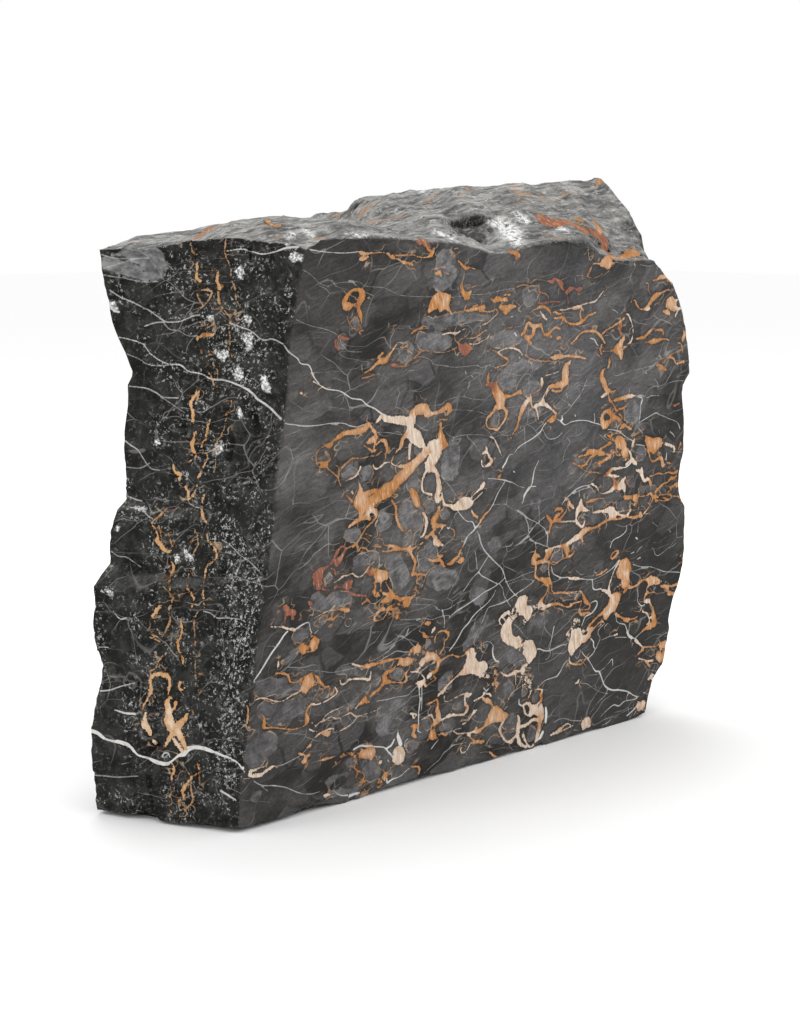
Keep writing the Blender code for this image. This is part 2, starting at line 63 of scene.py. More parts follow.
# Markings of the sawn face: "x z width" in block millimetres, traced.  A width left
# out is the one before.  "area" closes a line into a filled patch, and "hole" cuts one out.
# A comma at the end of a line carries the marking on to the next.
GOLD = """
168 569 4, 174 568 4, 180 568 2, 200 568.5 1.5, 212 566 2, 222 565 1.5, 244 565, 252 563 1.2,
  262 562 2, 268 563 3, 273 566, 275 572 2
205 567 1, 213 563 2, 222 561, 230 558 3, 237 557, 244 555 2
168 562 4, 174 563 5, 179 564 3
147 522 6, 152 528 5, 158 532 3, 165 532 4, 171 529 8, 172 526 9, 168 521 8, 165 516 6, 160 517 3,
  153 516 8, 147 516, 147 522 6
165 514 4, 168 508 6, 170 502 3, 170 498 1
150 506 1, 152 500, 158 494, 164 491, 170 494
175 448 2, 182 450 3, 190 455, 197 458 6, 205 459 7, 209 463 4, 214 468 2, 219 473, 222 476 1.5
193 462 2, 200 466 3
171 442 2, 180 443, 187 445 1
220 451 1.5, 236 451, 248 454, 256 457 1
228 470 3, 236 471 2
237 466 4, 240 465 2
245 458 2, 252 462, 258 466
241 484 2, 247 487, 258 490 3
87 433 4, 89 432 3
160 586 4, 168 586 3
268 506 5, 276 514 14, 283 518 16, 292 517 14, 298 520 7
285 508 8, 292 512 10, 297 507 4, 303 501 1.5
278 545 4, 284 546, 286 542 2
290 546 1.5, 297 544
305 570 1, 311 571 2
312 557 2, 318 553 2.5, 324 549 4, 330 550 1.5, 338 548 .8
318 535 1.5, 317 530 4, 320 523 7, 326 521, 331 524 4
328 518 4, 322 517 3
333 529 1.5, 345 531 1
324 510 2, 322 505, 330 505 3, 340 506 4, 348 507 5, 353 507 4
335 509 1.5, 342 510
345 503 1.5, 362 502 2, 372 504, 374 500
363 516 2, 368 513 4, 374 515 6, 380 514 4, 388 514
386 519 3, 393 519
380 506 6, 388 504 8, 396 506 6, 403 506 3
385 500 3, 388 499 2
308 502 1.5, 315 504 1, 322 504
413 474 2, 418 478 4, 421 484, 425 487, 432 483 5, 440 483 4, 445 484, 448 478 2
420 472 4, 427 471, 432 474 5, 434 480 6
424 468 3, 429 464 5
308 482 2, 307 475 1.5, 313 470
250 465 1.5, 262 465 1, 275 463, 290 462, 300 463, 310 466 1.5
312 471 1.5, 318 475, 338 475, 350 480, 355 482
362 461 1.5, 370 459, 378 455, 388 450 2, 392 448, 388 443, 378 442 1.5, 370 440 1, 362 437 1.5,
  360 433 2.5, 359 427 3.5, 357 423 4
375 440 1, 376 430, 372 422
420 452 2, 425 449, 432 446 1.5, 442 444, 450 444
385 483 1.5, 395 483 1, 410 484
427 498 1.5, 433 501, 440 502 1, 450 504 1.5
395 564 3, 400 565 6, 406 563 4, 409 561 2
415 571 2, 420 576
427 530 1.5, 434 534, 440 534 1
447 519 1.5, 449 518 1
405 527 1.5, 415 529, 428 527
402 512 1, 408 508, 413 505
440 534 1, 450 533, 457 531
442 520 1.5, 450 519, 457 515, 458 512
440 503 3, 448 504, 455 502 4, 460 498 3, 462 495 2
470 497 3, 475 495 2, 480 495 1
468 490 2, 475 490, 482 491 3, 488 486 2, 496 483 2.5, 506 482, 515 484 4, 521 487, 526 491 3,
  533 492 2, 540 494 1.5
513 497 3, 512 492 2, 514 488 3
500 499 2, 508 500 3, 514 501 2, 518 497 1.5
452 473 3, 458 473 5, 464 477 3, 470 480, 478 478
450 467 1.5, 455 467 2
462 470 3, 464 470 2
478 482 1.5, 482 487
473 468 4, 479 468
497 460 1.5, 505 465 2, 512 470, 520 473, 530 473 2.5, 540 472 3, 547 468 4, 553 463 3, 557 458 2.5
548 466 2, 555 470, 560 473 1.5, 570 476 2, 580 480 3, 588 483, 592 486 2
552 457 2, 549 451 3, 551 446
592 464 4, 588 458 7, 583 453 9, 577 449 8, 586 446 10, 587 439 5
592 451 3, 596 452 1.5
555 449 1, 565 448, 572 449 2
565 431 4, 566 436 3
556 427 4, 552 421 7, 556 413 8, 560 406, 564 402 6
548 548 4, 553 551 8, 560 547 10, 566 549 5, 572 549 2
557 553 6, 560 552 4
523 535 1.5, 530 542 1, 534 549 1.5, 545 549 2
523 535 1, 535 533, 548 536, 552 540
578 560 7, 586 557 5, 592 556 4
600 561 8, 608 561 9, 616 561, 622 558 5
463 447 3, 470 446 5, 480 446 4, 490 447 3, 500 446, 510 445, 520 443 2, 527 441 1
470 449 2, 482 449 1.5
440 444 1.5, 450 443, 460 443
478 440 1.5, 477 436
495 439 4, 490 436 7, 488 429 12, 487 422 10, 483 416 7, 476 416 3, 468 415 4, 462 414 3
490 416 3, 486 414 4
455 403 1.5, 458 408 1, 463 412 1.5
644 527 1.5, 652 528 2.5, 660 531 6, 668 530 5, 675 527 4, 680 522 2
631 524 1.5, 636 524, 635 517, 639 512
662 512 2, 657 511 4, 650 509 7, 644 506, 638 500 5, 632 496 3, 626 494 2.5, 618 495 1.5
660 512 2, 672 515 1.5, 684 516 1
603 503 1.5, 611 505 2, 615 498 3, 620 495 1.5
672 497 6, 677 500 14, 682 498 16, 686 493 8
665 490 3, 672 489 6, 676 487 5
632 463 3, 638 466 4, 644 470 2
616 460 3, 624 461 4
650 468 1.5, 657 469 3, 664 467 2.5, 666 463 2
642 455 5, 648 456 7, 655 456 5, 662 457 3, 670 457 2, 678 455 1
632 455 2, 637 455 1
705 465 3, 707 460 6, 704 454 5
695 451 2, 700 450, 703 445 2.5, 704 441 2
678 437 1.5, 690 440 1, 700 442 1.5
668 430 2, 674 434, 681 435 3, 687 432, 690 428 2
692 426 2, 698 427 3, 706 428 4
653 427 2, 662 426 3
659 422 3, 665 423 5, 672 420 3
131 382 3, 138 385 4.5, 147 388 5, 157 388 6, 168 389 8, 177 391 6, 180 395 4, 185 389 3, 190 383 4,
  189 375 3, 187 369 2
181 377 7, 187 378 8
124 377 7, 127 378 5
120 378 1.5, 112 375, 107 370, 107 363, 109 358, 113 356, 122 355
110 361 2, 120 360 2.5, 125 362 2
126 362 1, 128 369
112 357 2, 118 358 3, 122 358 2
122 354 1.5, 130 349, 137 343 2
133 357 1.5, 138 353 2, 138 350, 137 343
142 353 2, 150 358, 157 361 1.5, 172 360, 180 361, 190 361, 197 364
137 343 1.5, 139 337 1, 145 328, 151 321 1.5, 156 317 3
198 343 1, 194 335, 191 325
173 373 1.5, 180 369 2, 185 366 2.5, 190 367 1.5
191 372 1.5, 197 376 3, 203 375 5, 206 367 4, 204 359 1.5
229 376 5, 226 367 4, 218 361 2, 213 354 1.5
232 337 12, 222 332, 212 325 14, 205 323 16, 195 318 12, 186 314, 178 311 14, 170 314 18, 163 316 10,
  168 326 7, 167 332 3
173 322 6, 183 324 5, 192 325 4
170 306 10, 168 302 6
151 291 3, 160 295 4, 171 298 5, 180 297
190 305 3, 191 298 2.5, 184 292 2, 175 287
175 287 1.5, 170 281, 166 277 2, 163 273, 156 271, 148 269 1.5
157 270 2, 162 272 2.5, 164 264 2, 168 267 1.5, 175 266 2, 180 262 1.5, 190 268, 196 265
163 275 1.5, 172 277 1, 180 272 1.5
175 281 1.5, 183 278 1
190 274 1, 196 274, 200 271, 202 266 1.5, 210 265
195 261 1.5, 205 259 1, 210 264 2, 218 262 4, 222 259 3, 230 258 2
215 309 2, 219 305 4, 219 297 3, 221 287 2, 228 278
243 401 8, 252 404 12, 262 404, 266 399 10, 270 398 6, 282 399 4, 292 402 6, 298 404 8, 300 400 6,
  296 396 3
284 391 1.5, 296 390 2
236 380 5, 230 376, 226 368 4, 222 363 2
286 385 3, 286 378 6, 287 370 12, 288 365 14, 296 363 4
222 333 14, 232 338 12, 240 343, 250 349 10, 260 356, 266 360 8
222 347 3, 230 346 4, 236 346 6
348 273 3, 355 280, 362 284
378 320 5, 381 322 3
372 416 12, 377 409 14, 380 404, 378 398 10
386 408 6, 395 408 3, 404 410 3.5, 412 412 5, 414 410 4
372 398 5, 366 391 3, 359 387 2.5, 357 382 2, 360 376 1.5, 368 374, 374 373 4
385 396 4, 390 391 5, 388 384 3, 382 378 2, 376 373 3
417 395 6, 413 387 5, 410 380 4, 406 372 3, 400 366 2
397 362 2, 398 361 1
241 320 5, 246 314 10, 250 306 9, 254 301 4
219 306 4, 220 296 2.5, 224 286 2, 230 278
283 294 4, 281 288 6, 276 284 8, 276 278, 284 277 4, 294 276 2
277 273 3, 270 269 4, 264 266
275 268 5, 281 262 4, 287 256 3
300 273 1, 307 269 1.5, 308 264, 303 259 1
220 262 3, 228 259 2, 236 258 4, 240 255, 247 258 2, 258 261 1
230 272 1.5, 240 277, 250 275 1
338 283 4, 340 282 3
429 407 3, 430 402, 431 396, 434 393 2
472 384 2, 471 379 5, 467 377 8, 462 376 5, 458 376 2
432 408 1, 440 410 1.5, 447 414, 450 419 2
460 414 3, 467 414 4, 475 415 7, 484 416 9, 490 418 8
466 409 2, 474 408 3, 480 408 2, 484 412
566 404 3, 570 401 2, 578 402 1.5
565 398 2, 567 392 3, 570 389 2, 575 385, 578 381 3
572 390 2, 580 391 4.5, 590 392, 600 393 5, 608 393.5
553 370 6, 556 376 5, 561 379 4, 567 378 6, 572 373 7, 577 371 6, 570 367 5, 563 364 9, 558 362 8,
  555 367
577 371 4, 582 369, 586 366
578 380 3, 582 377 2, 584 380, 592 380 3, 598 382 2
590 371 2, 587 373
588 357 3, 593 359 6, 597 360 3, 600 358 2, 607 355 3, 609 354
564 351 2, 570 349 5, 574 352 3
area 572 347, 578 348, 588 348, 596 344, 600 338, 600 334, 604 331, 603 325, 600 318, 596 319, 590 324,
  582 325, 575 326, 571 331, 575 337, 573 341, 571 343
hole 579 331, 583 333, 589 333, 590 329, 584 327
hole 574 341, 576 344, 579 342, 577 339
569 341 5, 563 339 3, 556 337 2, 550 335
513 330 2, 520 331 3, 526 331, 530 334 6, 538 334, 545 333, 552 331 7, 558 330 5
518 319 1.5, 524 320 2, 530 324 3, 536 328 2.5, 545 330 2
504 324 2, 508 322 3, 512 320 2, 520 319 1.5, 530 320 1
550 319 4, 556 321, 563 323, 570 325, 566 328 3, 560 329 1.5, 555 328 1
518 317 1.5, 524 313, 530 311 2, 538 310, 545 309 1.5, 553 307 1
530 276 3, 538 277 4, 545 277.5 2, 552 278 1, 558 277
497 279 6, 500 276 5, 504 273 3
495 275 1.5, 492 269, 486 264 2, 481 261 3
473 272 2, 478 274 4, 484 273, 487 270 2, 482 268, 478 266 5, 474 264 6
459 268 4, 463 264 5, 466 260, 465 254 4, 463 248 3
466 259 3, 472 260, 478 260 4, 482 259 3
520 240 8, 528 243 6, 534 244 5, 540 244 3, 548 245, 555 247, 562 249, 572 251, 580 250 2, 590 249.5,
  600 250
598 274 6, 604 273 5, 610 273
area 615 341, 617 345, 624 344, 630 345, 638 344, 648 341, 660 340, 668 337, 676 333, 672 329, 664 327,
  658 325, 651 321, 645 325, 640 329, 636 333, 634 338, 626 337, 619 338
640 326 2, 643 322 3, 645 316 2, 650 312 3, 656 313, 662 315 4, 667 314 5, 669 309 6, 670 305 5,
  675 306 2, 682 307, 686 306 1.5
644 291 4, 647 286 5, 648 282 3
645 295 2, 653 295 1.5, 662 297, 668 295 2, 674 295 1, 682 296 2, 690 294 3, 697 295 4, 700 297 2
area 612 275, 624 275, 624 270, 623 266, 625 262, 628 256, 632 251, 634 248, 628 248, 624 250, 626 254,
  624 258, 618 261, 612 259, 613 268
600 252 3, 610 249, 620 248 4, 630 248, 634 250 2, 640 254, 645 258 1.5, 651 266 2, 652 270 3, 646 274,
  640 272 1, 630 272 1.5, 624 273 2
642 263 2, 646 261, 649 258 1.5
658 275 4, 664 279, 672 283 2, 680 284, 686 288 4, 693 288, 697 290 3
area 680 271, 684 277, 690 278, 696 283, 700 281, 699 274, 692 274, 686 271
656 268 3, 658 263, 664 264 1.5, 672 262 1, 680 262 1.5, 686 263, 690 266 2, 697 265, 702 264, 708 259,
  712 256
664 270 1.5, 672 269.5, 680 269, 688 267 2
656 270 3, 662 267 2
672 266 2, 678 264, 684 263 1.5
703 327 3, 705 331 2, 700 322 1.5
area 81 177, 84 180, 89 180, 92 176, 95 177, 97 181, 98 186, 103 185, 109 181, 110 178, 107 172,
  102 169, 94 169, 87 168, 83 171
98 188 3, 99 185 3
120 199 1, 124 199 3, 128 198, 132 200 2, 136 202 1.5
130 207 1.5, 138 207 2, 143 206 4, 147 205 5, 151 204 4
area 81 143, 88 145, 96 147, 103 146, 101 143, 106 139, 106 134, 99 132, 92 128, 89 126, 86 129,
  84 133, 85 139
108 140 3, 106 142 2, 110 136 3, 114 132
50 155 1, 60 153 2, 66 150 3, 68 146 2, 71 142, 78 141 1.5, 84 141
34 114 1.5, 35 108 4, 34 103, 38 101 2, 45 100, 52 98 2.5, 60 96 1.5, 72 93, 84 93 2, 90 95, 92 99 6,
  91 104 4, 91 108 2, 94 112 3, 98 115
10 113 4, 13 107, 16 105 3
11 121 2, 10 124
116 129 2, 122 129 1.5
172 141 3, 176 141 6, 184 141 4, 192 141 3, 200 142
164 102 3, 170 104 6, 174 107 5, 175 103 4, 180 102 2
181 108 3, 188 111, 195 114, 199 119, 199 126 2
170 208 2, 178 211, 181 208, 176 213 1.5
area 180 240, 184 244, 192 242, 200 240, 206 237, 207 230, 203 227, 196 227, 190 229, 186 231, 186 236,
  181 236
187 228 2, 189 223, 186 219 3
area 185 221, 189 221, 190 218, 197 218, 199 214, 196 211, 190 212, 186 215, 184 218
200 207 5, 206 207.5 6, 211 207 5
194 203 2, 196 206, 200 205, 200 201, 196 200, 194 203
200 200 4, 202 197, 197 197 3, 192 194 2, 188 191 1.5, 187 188 2, 193 187 1.2, 200 188 1.5, 205 193 2,
  206 197
198 215 3, 206 213 4, 211 212, 215 209 5, 221 207 4, 228 205, 235 205, 240 204 5, 244 205 3
204 226 2, 208 220, 212 215 4, 216 210, 221 207 3
196 227 2, 197 221 1.5, 197 217
area 207 200, 214 201, 222 201, 230 203, 238 204, 241 200, 237 194, 232 191, 226 186, 222 184, 214 187,
  209 191, 207 196
hole 215 197, 220 198, 219 190, 215 192
hole 223 196, 229 198, 232 195, 230 190, 225 188, 222 190
area 244 214, 248 218, 252 220, 257 217, 256 211, 253 207, 248 206, 245 209
hole 250 215, 254 216, 255 212, 251 210
250 220 2, 251 226, 248 230 3, 243 229, 246 236, 248 242 4, 245 247, 242 251 3, 240 256 4, 240 260 3
243 229 2, 255 228, 263 226 2.5, 266 228 1.5, 270 231, 278 233 1, 285 234 1.5
258 213 1, 262 221 1.5, 264 226
268 242 2, 275 240 3, 282 240, 286 239 2
282 247 2, 284 243 3, 290 244 2
290 234 4, 291 232 3
297 233 2, 303 234 5, 309 237 4, 314 240 3, 318 246, 322 251 2
315 234 4, 319 235 8, 322 235 5
205 258 1.5, 215 259 2, 225 258, 235 257, 239 253
264 173 4, 268 173 6, 271 173 3
260 163 3, 262 160 4, 268 157.5 1.5, 274 157 1
278 150 1.2, 278 155 1.5, 283 160 2, 290 161, 296 159 3, 299 157 4, 298 152 2.5, 293 149 2,
  292 143 1.5, 288 138, 285 136
area 240 148, 248 152, 253 155, 257 150, 264 147, 269 141, 276 140, 280 137, 282 130, 276 130, 270 131,
  262 130, 256 128, 252 131, 251 136, 252 141, 247 144, 242 145
hole 252 141, 256 143, 262 144, 263 138, 258 136, 252 137
180 142 2, 190 141, 197 142 4, 205 142, 213 142 2, 221 142, 228 140 4
area 221 138, 227 141, 236 141, 244 138, 243 132, 236 131, 229 132, 225 134, 218 134
218 134 2, 213 130 3, 208 130, 203 128 5, 203 122 6, 205 119, 210 118 3, 220 116 1.5, 232 114 2,
  235 118 4, 233 123 3, 237 126 1.5, 240 130, 240 145, 238 142
203 122 5, 199 117 4, 195 113, 188 111, 182 109 3
264 104 2, 270 106, 276 108 1.5, 280 110 2, 276 113 1.5, 277 117 2, 274 119 1.5
285 128 3, 290 129 2, 296 131, 302 132, 308 131, 312 129 3, 318 128 1.5, 325 129, 329 131 2
280 140 3, 281 134, 284 129 6, 283 124 5, 280 119 4, 277 117 3
440 230 3, 439 226 5, 438 222 8, 437 217 7, 442 216 5, 450 216 4, 457 218 5, 461 222 8, 464 226,
  468 228 6
440 224 6, 445 224 4
484 230 3, 490 229 6, 494 226 10, 495 220 6, 495 216 3, 503 217, 508 221 2
520 236 5, 522 231 4
511 239 3, 510 237 4
441 216 3, 441 210, 440 204, 441 200 4, 447 196, 452 196 5, 456 193 6, 461 190 7, 463 186 4, 462 182 3
456 195 4, 462 194, 467 190, 469 186 2, 469 181 1.5
464 215 2, 472 210, 485 214 1.5, 495 215 2
548 187 2, 555 188 3, 562 190, 568 192 2
450 170 5, 455 175 3, 459 178 2
472 177 2, 480 176 2.5, 490 175 3, 497 173 2.5, 505 173 2, 513 173 1.5, 521 172 2, 524 168 3,
  527 163 5, 530 158 6, 535 155 3, 538 153, 537 150 2, 531 149 1.5, 523 150 1, 519 152 1.5
468 164 4, 476 164 3, 485 162, 490 159, 497 157 2.5, 503 157 3
522 160 2, 512 160 1.5, 505 159 2, 502 160 3
521 157 1.5, 518 150 3, 520 146 5, 526 144 4, 532 145 3, 538 144 2
512 118 7, 520 120 8, 528 114 9, 536 120 8, 541 124 5
535 128 3, 540 131, 547 135, 553 138, 560 140 4
543 123 3, 550 127 2, 556 130, 562 130 4
505 89 3, 510 87 2.5, 517 86, 524 85 2, 528 88, 533 91
574 205 2, 578 203 3, 583 206, 588 209, 588 211 2, 584 212, 578 210, 575 207 1.5
area 590 197, 595 200, 600 201, 604 202, 608 198, 612 194, 615 191, 613 185, 610 180, 611 175, 610 169,
  606 165, 601 163, 597 160, 594 155, 590 148, 587 143, 583 139, 577 138, 572 134, 568 129, 565 127,
  563 132, 562 138, 560 141, 563 145, 569 148, 571 151, 574 157, 578 162, 584 165, 590 168, 594 172,
  594 176, 590 178, 583 178, 581 181, 585 187, 589 192
hole 576 162, 582 166, 590 168, 596 165, 592 162, 584 161
601 160 3, 606 163 2, 612 164 4, 618 164 2, 624 165 3, 630 168 4, 638 170 3, 645 169 5, 652 170 6,
  658 169 5, 664 167 4, 669 164 2
646 168 5, 648 163 4, 655 165 8, 660 165 6
610 167 2, 612 165 3
648 162 3, 643 157 2, 645 153 5, 641 151 4, 639 146 3
649 144 3, 651 139 2.5, 655 134 3, 657 127 6, 658 120 9, 660 113, 655 111 7, 649 110 6, 642 109 4,
  637 107 3
654 112 6, 648 115 2
630 133 1.5, 628 127, 620 125 2, 612 125, 608 125 6, 603 126 5
600 128 2, 594 131 3, 589 133 5, 586 136 3
672 157 3, 680 154 2, 686 152
676 158 2, 690 155 2.5, 700 155 4, 706 156 3
681 150 1.5, 690 148, 698 146 2
684 146 2, 688 145 4, 694 145 5, 700 144
660 161 2, 667 162 3, 672 164 2
658 152 2, 650 152 1.5
area 669 88, 676 88, 687 88, 686 80, 684 74, 680 67, 676 62, 671 62, 667 66, 664 70, 660 71, 658 69,
  663 69, 666 76, 669 80
hole 675 79, 680 78, 679 73, 674 74
638 87 3, 645 86 2.5, 653 85 3, 658 84 1.5
630 80 3, 634 82 4, 638 84 5
644 68 3, 648 65 4, 652 61 3
106 80 2, 111 82 2.5, 117 80 6, 120 79 7, 123 80 4
92 70 2, 96 71 4
100 77 1, 105 80 1.5
80 66 2, 84 64.5 3, 88 63 2.5, 90 61 3, 95 62
85 56 4, 89 57 5, 88 61 2
112 53 2, 118 53 3, 124 53 2, 130 53
131 46 3, 132 44 2
area 136 53, 142 54, 150 53, 158 54, 168 54, 174 52, 180 53, 188 50, 188 42, 186 38, 182 38, 176 41,
  170 42, 165 38, 160 39, 158 42, 164 45, 162 49, 155 49, 150 51, 142 50, 137 51
158 35 2, 162 30, 160 24
163 31 1.5, 168 28, 172 24 2, 170 20
area 160 22, 166 20, 172 18, 175 13, 180 8, 179 5, 172 6, 170 10, 171 14, 166 18
area 190 8, 192 14, 196 18, 201 21, 204 23, 208 20, 207 16, 203 12, 198 8, 194 6
241 19 1.5, 246 18.5 3, 252 17, 255 13, 253 9 2
242 64 3, 247 63 6, 246 58 5, 244 54 4, 247 52 5, 250 50 2
247 63 4, 252 63 3
262 84 1, 268 84 2, 275 85, 281 86 3, 283 80, 282 74 7, 284 69, 283 64, 278 60 5, 273 58 3
area 267 43, 268 47, 272 53, 279 53, 280 47, 284 44, 281 42, 274 42
284 45 2, 288 47, 295 44 3, 298 44 2
345 38 5, 352 39 4, 357 42, 362 44 5
343 40 5, 344 43 3
338 26 3, 345 26.5 4, 352 25, 356 25
340 29 3, 335 33 2
area 356 40, 362 41, 372 43, 380 42, 388 41, 394 44, 398 46, 396 50, 390 53, 383 58, 378 62, 372 62,
  368 60, 364 54, 360 50, 357 45
355 74 3, 361 71 6, 366 68 5, 369 65 3
area 362 99, 366 98, 372 100, 374 104, 382 104, 383 99, 386 98, 388 93, 385 88, 381 83, 379 77, 375 76,
  372 82, 369 89, 366 94
hole 378 95, 382 98, 387 95, 386 90, 381 89
hole 371 90, 374 91, 375 87, 372 86
365 11 2, 368 9 3, 374 4, 380 2 2
452 30 6, 452 40 5, 449 22
453 62 4, 453 57 5, 451 52 4
397 66 3, 398 68 2
"""

RED = """
134 482 3, 134 477, 139 473
140 485 4, 146 484, 152 483 3
165 516 4, 160 517 2
213 453 3, 220 453 3.5
215 493 2, 222 494 1
252 578 6, 258 580 8, 264 579 6, 268 574 3
316 465 6, 322 463 14, 329 464 8, 334 463 3
324 470 3, 326 468 2
365 423 3, 372 424 4
359 424 4, 363 423, 368 421 9, 372 416 8
441 526 4, 441 521 2
457 532 2, 463 531 5, 470 534 3, 476 528 4, 480 524 5, 484 521 2
472 533 2, 478 531 3, 483 527 2
488 518 5, 494 522, 502 523 2
490 514 2, 492 505
505 521 3, 511 522 4, 516 522 1.5
440 508 1, 455 508 2, 465 509, 478 508 1
582 474 5, 586 478, 584 469 3, 588 467
148 269 2, 143 272, 138 270 3, 134 266 5, 131 263 3
146 268 2, 143 264 4, 139 258, 134 253 3
131 261 1.5, 124 256, 120 253 3, 112 251 4, 104 249 3
area 120 255, 110 254, 102 250, 101 245, 104 241, 104 237, 100 235, 107 232, 115 233, 115 243, 116 249,
  121 252
area 115 234, 119 231, 127 230, 137 232, 145 235, 150 237, 155 238, 156 233, 153 226, 152 221, 148 224,
  143 228, 137 230, 130 229, 122 227, 121 224, 118 229
153 222 4, 160 219 3, 168 217 2, 175 216 1.5
95 221 3, 98 219 5, 101 218 2
134 258 5, 137 260, 132 255 3
127 251 2, 131 249, 132 246 3
120 253 2, 128 257, 131 261 1.5
63 220 6, 66 218 7, 67 213 4
70 214 6, 75 213 7, 77 211 3
64 212 3, 63 206 2
73 208 5, 74 207 4
180 240 6, 185 238 5
690 376 3, 700 378 2
712 187 3, 714 184 4, 713 180 3
576 300 4, 578 296 5, 581 291 8, 584 288
560 303 2, 563 304 4, 568 307, 573 310 5
332 132 4, 333 126 5, 335 118 3
451 62 4, 454 57 3
"""

